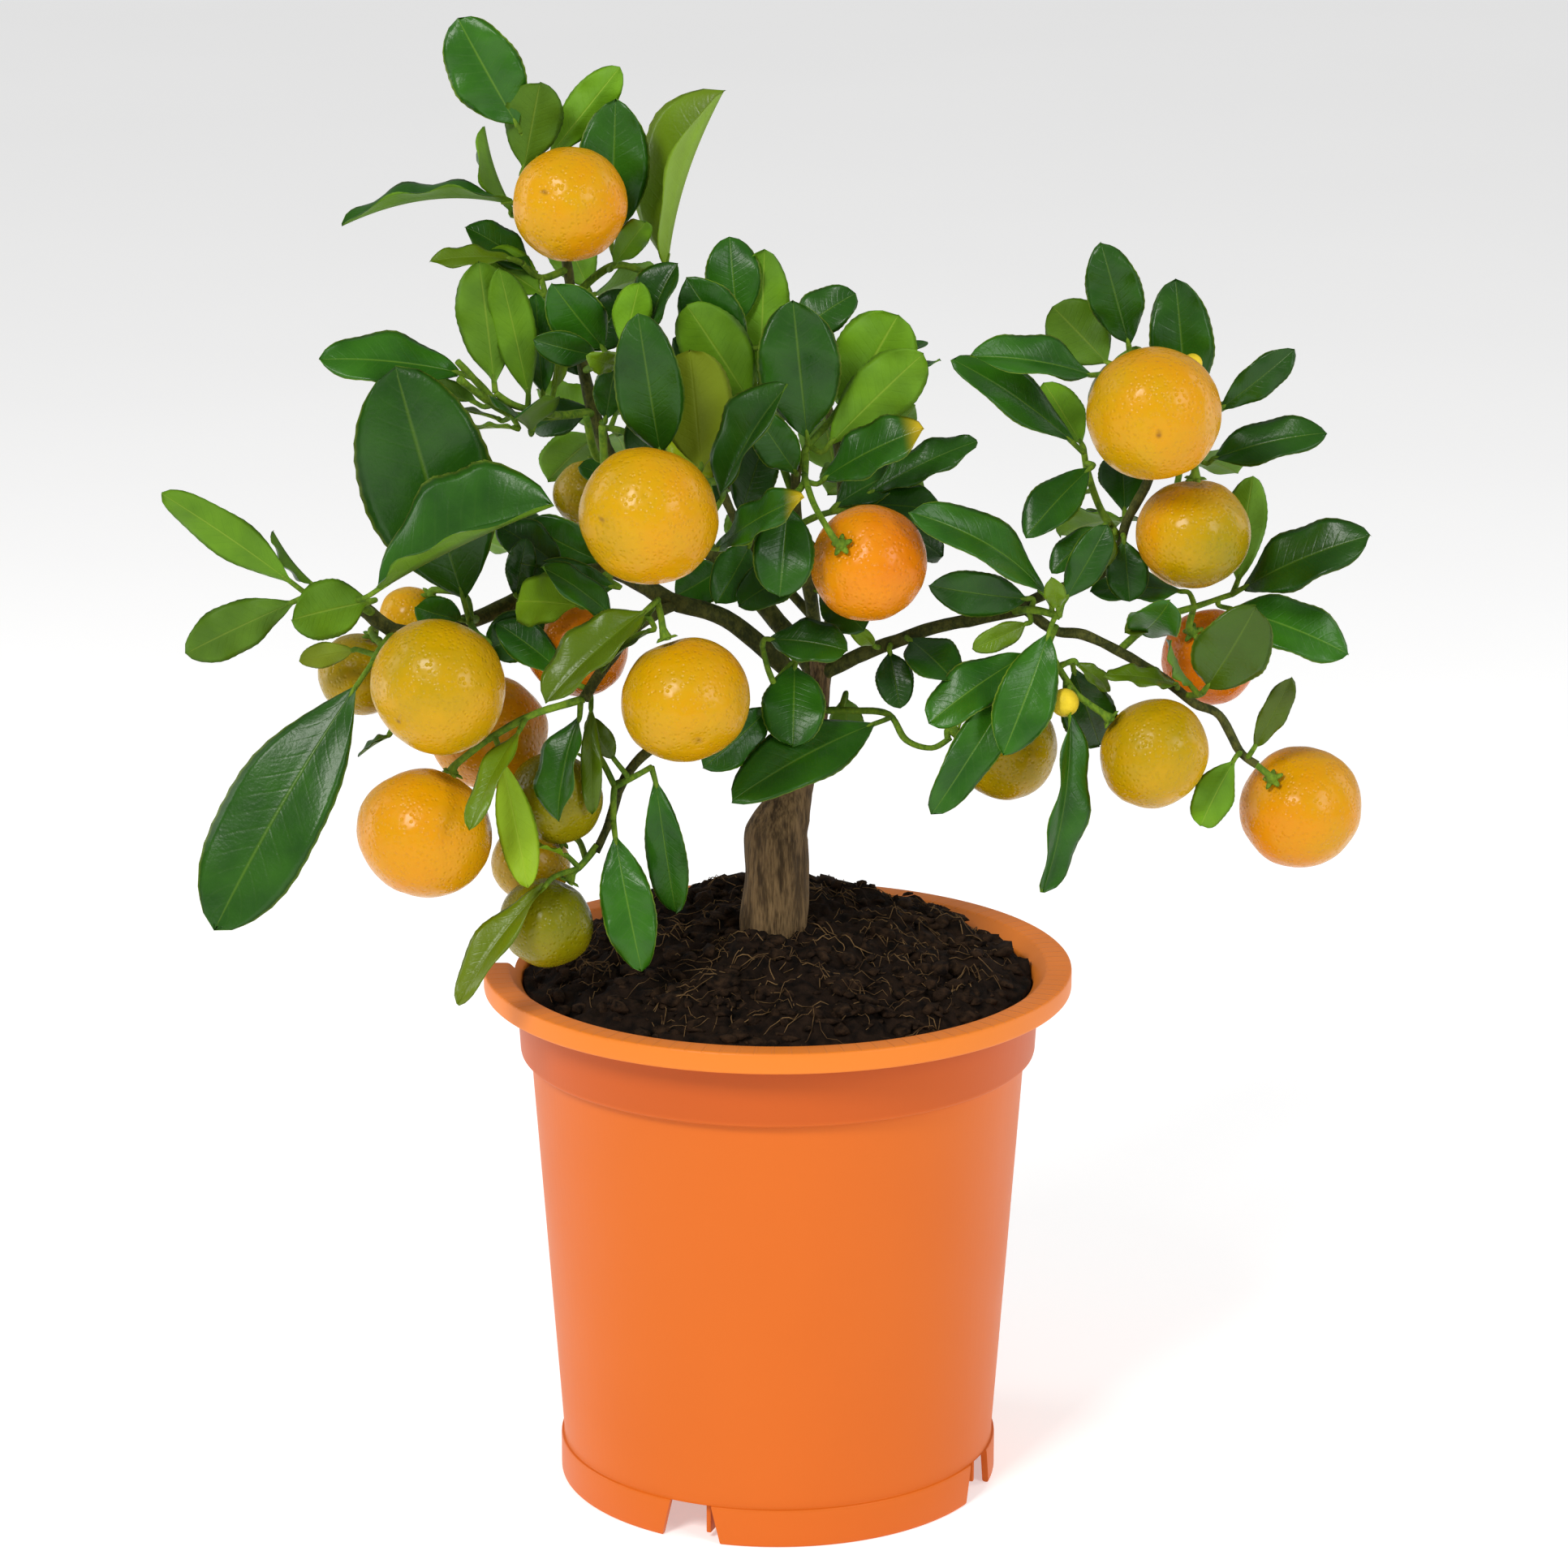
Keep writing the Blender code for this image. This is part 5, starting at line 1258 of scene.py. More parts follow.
def sweep(
    points: Sequence[Vector],
    radii: Sequence[float],
    sides: int,
    swell: Callable[[Vector, Vector, float], float] | None = None,
) -> Form:
    """Extrude a ring along a path into a closed tube.

    Args:
        points: The path.
        radii: The radius at each point.
        sides: The ring's number of sides.
        swell: Gives an outward shift for a point of the surface, its outward direction and its share of
            the path.

    Returns:
        The tube as a bmesh.
    """
    form = bmesh.new()
    ring = bmesh.ops.create_circle(form, cap_ends=True, segments=sides, radius=1.0)["verts"]
    face = ring[0].link_faces[0]
    side: Vector | None = None
    last = len(points) - 1
    for index, point in enumerate(points):
        if index:
            face = bmesh.ops.extrude_discrete_faces(form, faces=[face])["faces"][0]
        along = (points[min(index + 1, last)] - points[max(index - 1, 0)]).normalized()
        side = along.orthogonal() if side is None else side
        side = (side - along * side.dot(along)).normalized()
        other = along.cross(side)
        for number, vert in enumerate(face.verts):
            angle = WHOLE_TURN * number / sides
            out = side * math.cos(angle) + other * math.sin(angle)
            spot = point + out * radii[index]
            vert.co = spot + out * (swell(spot, out, index / last) if swell else 0.0)
    bmesh.ops.holes_fill(form, edges=form.edges, sides=0)
    bmesh.ops.recalc_face_normals(form, faces=form.faces)
    return form


def revolve(profile: Section, segments: int) -> Form:
    """Spin a closed half section about Z.

    Args:
        profile: Points as radius and height; the first and last lie on the axis.
        segments: The number of steps round.

    Returns:
        The turned solid.
    """
    form = bmesh.new()
    verts = [form.verts.new((radius, 0, height)) for radius, height in profile]
    edges = [form.edges.new(pair) for pair in zip(verts, verts[1:])]
    bmesh.ops.spin(
        form,
        geom=verts + edges,
        axis=(0, 0, 1),
        cent=(0, 0, 0),
        angle=WHOLE_TURN,
        steps=segments,
        use_merge=True,
    )
    bmesh.ops.remove_doubles(form, verts=form.verts, dist=1e-6)
    bmesh.ops.recalc_face_normals(form, faces=form.faces)
    return form


def soften(profile: Section, radius: float, steps: int = 3) -> list[tuple[float, float]]:
    """Round the inner corners of a profile with short arcs.

    Args:
        profile: Points as radius and height.
        radius: The largest distance from a corner at which its arc starts.
        steps: The number of stretches in an arc.

    Returns:
        The profile with its corners rounded.
    """
    result = [profile[0]]
    for before, corner, after in zip(profile, profile[1:], profile[2:]):
        a, b, c = Vector(before), Vector(corner), Vector(after)
        start = b + (a - b).normalized() * min(radius, (a - b).length * 0.45)
        end = b + (c - b).normalized() * min(radius, (c - b).length * 0.45)
        for step in range(steps + 1):
            t = step / steps
            point = start * (1 - t) ** 2 + b * 2 * t * (1 - t) + end * t**2
            result.append((point.x, point.y))
    result.append(profile[-1])
    return result


# ---------------------------------------------------------------- the pot


@dataclass
class NurseryPot:
    """The moulded pot, from its rim to its notched foot ring."""

    height: float
    rim_radius: float
    wall: float = 1.6 * MM
    skirt: float = 5 * MM
    overhang: float = 7.5 * MM
    flat: float = 6 * MM
    collar: float = 15.5 * MM
    collar_draft: float = 1.1 * MM
    ledge_width: float = 2.4 * MM
    draft: float = 7 * MM
    foot: float = 9.4 * MM
    foot_proud: float = 0.8 * MM
    floor_recess: float = 1.5 * MM
    notch_top: float = 10.4 * MM
    notch_bottom: float = 15 * MM
    first_notch: float = math.radians(-113)
    rib_turn: float = math.radians(4)
    slot_from: float = math.radians(152)
    slot_to: float = math.radians(180)
    drain_radius: float = 4.5 * MM
    drain_circle: float = 30 * MM
    segments: int = 168

    @property
    def collar_top(self) -> float:
        """Outer radius of the collar under the rim."""
        return self.rim_radius - self.overhang

    @property
    def collar_foot(self) -> float:
        """Outer radius of the collar at the ledge."""
        return self.collar_top - self.collar_draft

    @property
    def wall_top(self) -> float:
        """Outer radius of the wall under the ledge."""
        return self.collar_foot - self.ledge_width

    @property
    def wall_foot(self) -> float:
        """Outer radius of the wall at the foot's step."""
        return self.wall_top - self.draft

    @property
    def ledge(self) -> float:
        """Height of the ledge under the collar."""
        return self.height - self.skirt - self.collar

    @property
    def floor(self) -> float:
        """Height of the floor's upper face."""
        return self.foot + self.floor_recess + self.wall

    def profile(self) -> list[tuple[float, float]]:
        """Return the half section of the moulding."""
        foot = self.wall_foot + self.foot_proud
        underside = self.floor - self.wall
        plate = self.height - self.wall
        skirt_foot = self.height - self.skirt
        return [
            (0, underside),
            (foot - self.wall, underside),
            (foot - self.wall, 0),
            (foot, 0),
            (foot, self.foot),
            (self.wall_foot, self.foot),
            (self.wall_top, self.ledge),
            (self.collar_foot, self.ledge),
            (self.collar_top, plate),
            (self.rim_radius - self.wall, plate),
            (self.rim_radius - self.wall, skirt_foot),
            (self.rim_radius, skirt_foot),
            (self.rim_radius, self.height),
            (self.rim_radius - self.flat, self.height),
            (self.collar_top - self.wall, self.height - 3.1 * MM),
            (self.collar_foot - self.wall, self.ledge + self.wall),
            (self.wall_top - self.wall, self.ledge),
            (self.wall_foot - self.wall, self.floor),
            (0, self.floor),
        ]

    def quarters(self) -> list[float]:
        """Return the angles round the pot at which the notches and the drain holes lie."""
        return [self.first_notch + quarter * math.pi / 2 for quarter in range(4)]

    def notch(self, angle: float) -> Form:
        """Return the trapezoid that opens one drain notch.

        Args:
            angle: Where the notch lies round the pot.

        Returns:
            The cutter.
        """
        form = bmesh.new()
        bmesh.ops.create_cube(form, size=1.0)
        low = -2 * MM
        for vert in form.verts:
            bottom = vert.co.z < 0
            slope = (self.notch_bottom - self.notch_top) / self.foot
            width = self.notch_bottom - slope * low if bottom else self.notch_top
            reach = self.wall_foot - 6 * self.wall if vert.co.x < 0 else self.wall_foot + 4 * MM
            vert.co = (reach, width / 2 * (1 if vert.co.y > 0 else -1), low if bottom else self.foot)
        turn(form, Matrix.Rotation(angle, 3, "Z"))
        return form

    def drain(self, angle: float) -> Form:
        """Return the drill for one drain hole at an angle."""
        form = bmesh.new()
        bmesh.ops.create_cone(
            form,
            cap_ends=True,
            segments=32,
            radius1=self.drain_radius,
            radius2=self.drain_radius,
            depth=6 * MM,
        )
        place = Vector((math.cos(angle), math.sin(angle), 0)) * self.drain_circle
        bmesh.ops.translate(form, verts=form.verts, vec=place + Vector((0, 0, self.floor - self.wall / 2)))
        return form

    def label_slot(self) -> Form:
        """Return the sector that opens the rim's overhang."""
        form = bmesh.new()
        near = self.collar_top + 0.2 * MM
        low = self.height - self.skirt - 2 * MM
        corners = [form.verts.new((radius, 0, low)) for radius in (near, self.rim_radius + 2 * MM)]
        edge = form.edges.new(corners)
        turn(form, Matrix.Rotation(self.slot_from, 3, "Z"))
        opening = self.slot_to - self.slot_from
        bmesh.ops.spin(
            form, geom=[*corners, edge], axis=(0, 0, 1), cent=(0, 0, 0), angle=opening, steps=14
        )
        grown = bmesh.ops.extrude_face_region(form, geom=form.faces[:])["geom"]
        lifted = [item for item in grown if isinstance(item, bmesh.types.BMVert)]
        bmesh.ops.translate(form, verts=lifted, vec=(0, 0, self.skirt + 4 * MM))
        bmesh.ops.recalc_face_normals(form, faces=form.faces)
        return form

    def inner_ribs(self) -> Form:
        """Return the small upright ribs that stand behind the drain notches."""
        ribs = bmesh.new()
        for angle in self.quarters():
            form = bmesh.new()
            bmesh.ops.create_cube(form, size=1.0)
            bmesh.ops.scale(form, verts=form.verts, vec=(6 * MM, 1.2 * MM, self.foot - 0.5 * MM))
            bmesh.ops.bevel(
                form,
                geom=form.edges[:],
                offset=0.3 * MM,
                segments=2,
                profile=0.5,
                affect="EDGES",
                material=-1,
            )
            shift = Vector((self.wall_foot - 5 * MM, 0, (self.foot + 1.2 * MM) / 2 + 0.6 * MM))
            bmesh.ops.translate(form, verts=form.verts, vec=shift)
            turn(form, Matrix.Rotation(angle + self.rib_turn, 3, "Z"))
            add_form(ribs, form, 0)
        return ribs

    def build(self) -> bpy.types.Object:
        """Make the pot, cut its openings and dress it.

        Returns:
            The pot's object.
        """
        finish = PotPlastic(self.height, self.ledge, self.height - self.skirt).build()
        pot = piece_from("nursery_pot", revolve(soften(self.profile(), 0.7 * MM), self.segments), [finish])
        cutters = [make(angle) for make in (self.notch, self.drain) for angle in self.quarters()]
        cutters.append(self.label_slot())
        tools = [piece_from("cutter", form, []) for form in cutters]
        for tool in tools:
            cut = pot.modifiers.new("cut", "BOOLEAN")
            cut.operation = "DIFFERENCE"
            cut.object = tool
            cut.solver = "EXACT"
        graph = bpy.context.evaluated_depsgraph_get()
        cut_mesh = bpy.data.meshes.new_from_object(pot.evaluated_get(graph), depsgraph=graph)
        pot.modifiers.clear()
        pot.data = cut_mesh
        for tool in tools:
            bpy.data.objects.remove(tool)
        pot.data.materials.clear()
        pot.data.materials.append(finish)
        pot.data.shade_smooth()
        pot.data.set_sharp_from_angle(angle=SHARP_ANGLE)
        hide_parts("pot")
        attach(pot, "root")
        ribs = piece_from("foot_ribs", self.inner_ribs(), [finish])
        ribs.data.set_sharp_from_angle(angle=SHARP_ANGLE)
        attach(ribs, "root")
        return pot


# ---------------------------------------------------------------- the potting mix


@dataclass
class PottingMix:
    """The mound of peat and bark mix with crumbs, chips and root fibres on it."""

    pot: NurseryPot
    mound: float = 9 * MM
    edge_drop: float = 3 * MM
    back_heap: float = 13 * MM
    crumbs: int = 900
    fibres: int = 330
    fibre_steps: int = 9
    rings: int = 62
    segments: int = 200
    trunk_room: float = 9 * MM
    chance: random.Random = field(default_factory=lambda: random.Random(41))

    @property
    def radius(self) -> float:
        """The mound's radius at the pot's wall."""
        return self.pot.collar_top - self.pot.wall - 0.4 * MM

    def surface(self, x: float, y: float) -> float:
        """Return the height of the mound's surface over a point."""
        share = min(1.0, math.hypot(x, y) / self.radius)
        rise = (self.mound + self.edge_drop) * (1 - share**2)
        lumps = noise.noise(Vector((x, y, 0.3)) * 90) * 2.4 * MM
        clods = noise.noise(Vector((x, y, 1.7)) * 260) * 2.2 * MM
        grit = noise.noise(Vector((x, y, 2.9)) * 800) * 1.1 * MM
        behind = self.back_heap * max(0.0, y / self.radius) * (1 - share**2)
        return self.pot.height - self.edge_drop + rise + lumps + clods + grit + behind

    def body(self) -> Form:
        """Return the mix down to the pot's floor, with its rough surface."""
        inset = self.pot.wall + 0.5 * MM
        top = self.pot.height - self.edge_drop
        profile = [
            (0, self.pot.floor + 0.4 * MM),
            (self.pot.wall_foot - inset, self.pot.floor + 0.4 * MM),
            (self.pot.wall_top - inset, self.pot.ledge - 0.8 * MM),
            (self.pot.collar_foot - inset, self.pot.ledge + self.pot.wall + 0.6 * MM),
        ]
        profile += [(self.radius * (1 - ring / self.rings), top) for ring in range(self.rings + 1)]
        form = revolve(profile, self.segments)
        for vert in form.verts:
            if vert.co.z > top - 0.1 * MM:
                vert.co.z = self.surface(vert.co.x, vert.co.y)
        return form

    def spot(self, most: float = 0.97) -> Vector:
        """Return a random point on the mound, clear of the trunk."""
        while True:
            distance = self.radius * most * math.sqrt(self.chance.random())
            angle = self.chance.uniform(0, WHOLE_TURN)
            x, y = distance * math.cos(angle), distance * math.sin(angle)
            if distance > self.trunk_room:
                return Vector((x, y, self.surface(x, y)))

    def crumb(self) -> Form:
        """Return one crumb of peat or chip of bark, half sunk in the surface."""
        form = bmesh.new()
        bmesh.ops.create_icosphere(form, subdivisions=1, radius=1.0)
        size = self.chance.uniform(0.5, 1.5) ** 2 * MM
        long = self.chance.uniform(0.8, 2.2)
        for vert in form.verts:
            vert.co *= 1 + noise.noise(vert.co * 3 + Vector((size * 9000, 0, 0))) * 0.8
        shape = Vector((size * long, size, size * self.chance.uniform(0.4, 0.9)))
        bmesh.ops.scale(form, verts=form.verts, vec=shape)
        heading = Matrix.Rotation(self.chance.uniform(0, WHOLE_TURN), 3, "Z")
        turn(form, heading @ Matrix.Rotation(self.chance.uniform(-0.6, 0.6), 3, "X"))
        bmesh.ops.translate(form, verts=form.verts, vec=self.spot(0.95))
        return form

    def fibre(self) -> Form:
        """Return one root fibre that wanders over the surface."""
        start = self.spot(0.86)
        heading = self.chance.uniform(0, WHOLE_TURN)
        length = self.chance.uniform(6, 20) * MM
        bend = self.chance.uniform(-2.5, 2.5)
        points: list[Vector] = []
        x, y = start.x, start.y
        steps = self.fibre_steps
        for step in range(steps):
            heading += bend / steps + self.chance.uniform(-0.35, 0.35)
            x += math.cos(heading) * length / steps
            y += math.sin(heading) * length / steps
            reach = math.hypot(x, y) / (self.radius * 0.96)
            x, y = (x / reach, y / reach) if reach > 1 else (x, y)
            lift = math.sin(math.pi * step / (steps - 1)) * self.chance.uniform(0.2, 1.6) * MM
            points.append(Vector((x, y, self.surface(x, y) + lift - 0.1 * MM)))
        thick = self.chance.uniform(0.05, 0.14) * MM
        return sweep(points, [thick] * steps, 5)

    def scattered(self, count: int, make: Callable[[], Form]) -> Form:
        """Return many small shapes in one bmesh.

        Args:
            count: How many.
            make: Gives one of them.

        Returns:
            All of them together.
        """
        heap = bmesh.new()
        for _ in range(count):
            add_form(heap, make(), 0)
        return heap

    def build(self) -> None:
        """Make the mound, its crumbs and its fibres."""
        peat = Loam("peat", (0.018, 0.010, 0.006), (0.003, 0.002, 0.0015)).build()
        chips = Loam("bark_chips", (0.035, 0.019, 0.010), (0.005, 0.003, 0.002), 500.0).build()
        roots = Loam("root_fibre", (0.20, 0.12, 0.05), (0.045, 0.024, 0.011), 260.0, 0.75).build()
        body = piece_from("potting_mix_body", self.body(), [peat])
        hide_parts("potting_mix")
        crumbs = piece_from("bark_crumbs", self.scattered(self.crumbs, self.crumb), [chips])
        fibres = piece_from("root_fibres", self.scattered(self.fibres, self.fibre), [roots])
        for piece in (body, crumbs, fibres):
            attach(piece, "root")


# ---------------------------------------------------------------- the leaves


@dataclass
class LeafMaker:
    """Makes leaves as thin closed blades with a midrib, a wavy scalloped margin and a stalk."""

    across: int = 10
    along: int = 28
    thickness: float = 0.5 * MM
    petiole_radius: float = 0.62 * MM
    neck: float = 0.45 * MM
    scallop: float = 0.009
    wave: float = 0.9 * MM
    groove_width: float = 0.7 * MM
    groove_above: float = 0.16 * MM
    groove_below: float = 0.28 * MM
    chance: random.Random = field(default_factory=lambda: random.Random(7))

    def outline(self, share: float, widest: float, blunt: float) -> float:
        """Return the blade's half width at a share of its length, as a share of its widest."""
        if share < widest:
            return math.sin(math.pi / 2 * share / widest) ** 0.8
        return (1 - ((share - widest) / (1 - widest)) ** 2.2) ** blunt

    def blade(self, leaf: Leaf, base: Vector, tip: Vector) -> Form:
        """Return one blade.

        Args:
            leaf: The leaf.
            base: Where its stalk starts.
            tip: Its tip.

        Returns:
            The blade as a closed bmesh, with its UV map and its leaf_data.
        """
        run = tip - base
        length = run.length
        heading = run.normalized()
        face = leaf.facing()
        up = (face - heading * face.dot(heading)).normalized()
        side = heading.cross(up)
        widest = self.chance.uniform(0.46, 0.58)
        blunt = self.chance.uniform(0.52, 0.72)
        twist = self.chance.uniform(-0.22, 0.22)
        waves = self.chance.uniform(1.5, 3.0)
        phase = self.chance.uniform(0, WHOLE_TURN)
        tone = self.chance.random()
        wave = min(0.03 * length, self.wave)
        half = leaf.width * MM / 2
        start = min(0.08, 5 * MM / length)

        form = bmesh.new()
        chart = form.loops.layers.uv.new("blade")
        data = form.loops.layers.float_color.new("leaf_data")
        bmesh.ops.create_grid(form, x_segments=self.across, y_segments=self.along, size=1.0)
        for corner in (corner for patch in form.faces for corner in patch.loops):
            corner[chart].uv = ((corner.vert.co.x + 1) / 2, (corner.vert.co.y + 1) / 2)
            corner[data] = (0.0, tone, self.paleness(leaf), 1.0)
        everything = form.verts[:] + form.edges[:] + form.faces[:]
        copied = bmesh.ops.duplicate(form, geom=everything)["geom"]
        under = {item for item in copied if isinstance(item, bmesh.types.BMVert)}
        under_faces = [item for item in copied if isinstance(item, bmesh.types.BMFace)]
        for corner in (corner for patch in under_faces for corner in patch.loops):
            corner[data] = (1.0, tone, self.paleness(leaf), 1.0)
        bmesh.ops.reverse_faces(form, faces=under_faces)
        for vert in form.verts:
            u, share = vert.co.x, (vert.co.y + 1) / 2
            row = round(share * self.along)
            scallop = 1 + (self.scallop if row % 2 else -self.scallop) * (abs(u) > 0.99)
            width = max(half * self.outline(share, widest, blunt) * scallop, self.neck * (1 - share))
            reach = start + (1 - start) * share
            roll = twist * (share - 0.4)
            level = side * math.cos(roll) + up * math.sin(roll)
            above = up * math.cos(roll) - side * math.sin(roll)
            centre = base + run * reach + up * leaf.arch * length * 4 * reach * (1 - reach)
            bend = abs(u) * (1.18 - 0.34 * abs(u))
            ripple = math.sin(phase + share * waves * WHOLE_TURN + u) * wave * u * u
            lift = width * leaf.fold * bend + ripple
            groove = math.exp(-((u * width / self.groove_width) ** 2)) * (1 - 0.7 * share)
            skin = self.thickness / 2 * (1 - u**4) * (1 - share**6)
            dip = self.groove_below if vert in under else self.groove_above
            offset = (-skin if vert in under else skin) - dip * groove
            vert.co = centre + level * (u * width) + above * (lift + offset)
        bmesh.ops.remove_doubles(form, verts=form.verts, dist=0.01 * MM)
        return form

    def paleness(self, leaf: Leaf) -> float:
        """Return how pale a leaf is, from 0 to 1; small young leaves are a little pale."""
        return PALE_LEAVES.get(leaf.tip, 0.25 if leaf.width < 7 else 0.0)

    def petiole(self, leaf: Leaf, root: Vector, base: Vector, tip: Vector) -> Form:
        """Return the stalk that joins a blade to its twig at root."""
        run = tip - base
        face = leaf.facing()
        up = (face - run * face.dot(run) / run.length_squared).normalized()
        share = min(0.09, 5.5 * MM / run.length)
        joint = base + run * share + up * leaf.arch * run.length * 4 * share * (1 - share)
        points = [root, joint, joint + run * 0.05]
        if (root - base).length > 2.2 * MM:
            points.insert(1, base)
        swelling = [1.2] + [1.0] * (len(points) - 2) + [0.5]
        radii = [self.petiole_radius * share for share in swelling]
        fine, widths = smooth_path(points, radii, 4)
        return sweep(fine, widths, 8)


# ---------------------------------------------------------------- the tree


@dataclass
class Tree:
    """The trunk, its limbs, and every shoot with its leaves and fruit stalks."""

    rim: float
    calyx_lobes: int = 5
    calyx_sides: int = 40
    gap: float = 0.3 * MM
    finishes: dict[str, Material] = field(default_factory=dict)

    def __post_init__(self) -> None:
        """Build the tree's finishes and its leaf maker."""
        self.leaf_maker = LeafMaker()
        self.finishes["foliage"] = Foliage().build()
        barks = (
            Bark("old_bark", (0.205, 0.130, 0.058), (0.026, 0.015, 0.006), 560.0, 1.5 * MM, 0.14),
            Bark("young_bark", (0.085, 0.090, 0.018), (0.018, 0.026, 0.005), 500.0, 0.5 * MM, 0.6),
            Bark("green_stem", (0.150, 0.250, 0.015), (0.050, 0.120, 0.008), 400.0, 0.2 * MM, 0.7),
        )
        for wood, bark in zip(Wood, barks):
            self.finishes[wood.value] = bark.build()

    def spot(self, place: Place) -> Vector:
        """Turn a place in the plant's millimetres into a point in metres."""
        return plant_point(place, self.rim)

    def nearest(self, twigs: Sequence[Twig], place: Vector, skip: float) -> Vector:
        """Return the point on the twigs nearest to place, past the first stretch of the first twig.

        Args:
            twigs: The twigs of one shoot.
            place: The point to reach.
            skip: How much of the first twig lies in its parent.

        Returns:
            The nearest point.
        """
        found: list[Vector] = []
        for order, twig in enumerate(twigs):
            points = [self.spot(point) for point in twig.points]
            if order == 0:
                points[0] = points[0] + (points[1] - points[0]).normalized() * skip
            for first, second in zip(points, points[1:]):
                run = second - first
                share = max(0.0, min(1.0, (place - first).dot(run) / run.length_squared))
                found.append(first + run * share)
        return min(found, key=lambda point: (point - place).length)

    def twig(self, twig: Twig, sides: int) -> Form:
        """Return a twig's rounded tube with slight nodes."""
        points = [self.spot(point) for point in twig.points]
        last = len(points) - 1
        radii = [(twig.start + (twig.end - twig.start) * index / last) * MM for index in range(last + 1)]
        fine, widths = smooth_path(points, radii, 6)

        def knots(spot: Vector, _out: Vector, _share: float) -> float:
            """Return how far the bark stands out at a spot."""
            return noise.noise(spot * 260) * 0.16 * twig.start * MM

        return sweep(fine, widths, sides, knots)

    def stalk(self, stalk: Stalk) -> tuple[Form, Form]:
        """Return a fruit's stalk and its five-lobed calyx.

        Args:
            stalk: The stalk.

        Returns:
            The stalk's tube and the calyx.
        """
        fruit = FRUITS[stalk.fruit]
        out = Vector(fruit.stem).normalized()
        pole = self.spot(fruit.centre) + out * (fruit.radius * MM * FRUIT_FLATNESS)
        foot = pole + out * (self.gap + 0.6 * MM)
        points = [self.spot(point) for point in stalk.points] + [foot + out * 2.2 * MM, foot]
        radii = [0.75 * MM] * (len(points) - 2) + [0.85 * MM, 1.5 * MM]
        fine, widths = smooth_path(points, radii, 5)
        tube = sweep(fine, widths, 10)
        star = bmesh.new()
        bmesh.ops.create_circle(star, cap_ends=True, segments=self.calyx_sides, radius=1.0)
        bmesh.ops.extrude_discrete_faces(star, faces=star.faces[:])
        ring = sorted(star.verts, key=lambda vert: vert.index)
        outer = set(ring[: self.calyx_sides])
        for vert in star.verts:
            angle = math.atan2(vert.co.y, vert.co.x)
            reach = (2.1 + 0.75 * math.cos(self.calyx_lobes * angle)) * MM
            droop = 0.25 * MM if vert in outer else 0.75 * MM
            reach *= 1.0 if vert in outer else 0.8
            vert.co = Vector((math.cos(angle) * reach, math.sin(angle) * reach, droop + self.gap))
        bmesh.ops.holes_fill(star, edges=star.edges, sides=0)
        bmesh.ops.recalc_face_normals(star, faces=star.faces)
        turn(star, FACES["U"].rotation_difference(out).to_matrix())
        bmesh.ops.translate(star, verts=star.verts, vec=pole)
        return tube, star

    def fruitlet(self, centre: Place, radius: float, joint: Place) -> tuple[Form, Form]:
        """Return a young fruit and its stalk.

        Args:
            centre: The fruitlet's centre.
            radius: Its radius in millimetres.
            joint: Where it joins its shoot.

        Returns:
            The stalk and the fruitlet.
        """
        middle, root = self.spot(centre), self.spot(joint)
        points, radii = [root, root.lerp(middle, 0.6), middle], [0.7 * MM, 0.65 * MM, 1.1 * MM]
        stalk = sweep(*smooth_path(points, radii, 4), 8)
        ball = bmesh.new()
        bmesh.ops.create_uvsphere(ball, u_segments=24, v_segments=16, radius=radius * MM)
        bmesh.ops.translate(ball, verts=ball.verts, vec=middle)
        return stalk, ball

    def trunk(self) -> bpy.types.Object:
        """Return the trunk with its fissured bark.

        Returns:
            The trunk's object.
        """
        points = [self.spot(place) for place, _ in TRUNK]
        fine, widths = smooth_path(points, [radius * MM for _, radius in TRUNK], 16)

        def fissures(spot: Vector, _out: Vector, share: float) -> float:
            """Return how far the bark stands out at a spot, less towards the trunk's head."""
            upright = Vector((spot.x * 420, spot.y * 420, spot.z * 70))
            lumps = noise.noise(spot * 90) * 0.9 * MM
            return (noise.noise(upright) * 0.55 * MM + lumps) * (1 - 0.75 * share)

        form = sweep(fine, widths, 72, fissures)
        trunk = piece_from("trunk_wood", form, [self.finishes[Wood.OLD.value]])
        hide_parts("trunk")
        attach(trunk, "root")
        return trunk

    def spray(self, name: str, spray: Spray) -> bpy.types.Object:
        """Make one limb or shoot with its leaves, stalks and calyxes.

        Args:
            name: The CAD node it stands for.
            spray: What grows on it.

        Returns:
            Its object.
        """
        limb = name.startswith("limb")
        wood = Wood.YOUNG if limb or name.endswith("spray") else Wood.GREEN
        body = bmesh.new()
        for twig in spray.twigs:
            woody = twig.start > 1.15 or wood is Wood.GREEN
            tube = self.twig(twig, 14 if twig.start > 1.2 else 9)
            add_form(body, tube, WOOD_SLOT if woody else GREEN_SLOT)
        skip = (6 if spray.parent == "trunk" else 4) * MM
        for leaf in spray.leaves:
            base, tip = self.spot(leaf.base), self.spot(leaf.tip)
            root = self.nearest(spray.twigs, base, skip)
            add_form(body, self.leaf_maker.petiole(leaf, root, base, tip), GREEN_SLOT)
            add_form(body, self.leaf_maker.blade(leaf, base, tip), LEAF_SLOT)
        for stalk in spray.stalks:
            for form in self.stalk(stalk):
                add_form(body, form, GREEN_SLOT)
        if name in FRUITLETS:
            stalk_form, ball = self.fruitlet(*FRUITLETS[name])
            add_form(body, stalk_form, GREEN_SLOT)
            add_form(body, ball, FRUITLET_SLOT)
        materials = [self.finishes[slot] for slot in (wood.value, "foliage", Wood.GREEN.value)]
        if name in FRUITLETS:
            materials.append(self.finishes["fruitlet"])
        piece = piece_from(name + "_growth", body, materials)
        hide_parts(name)
        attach(piece, "root")
        return piece

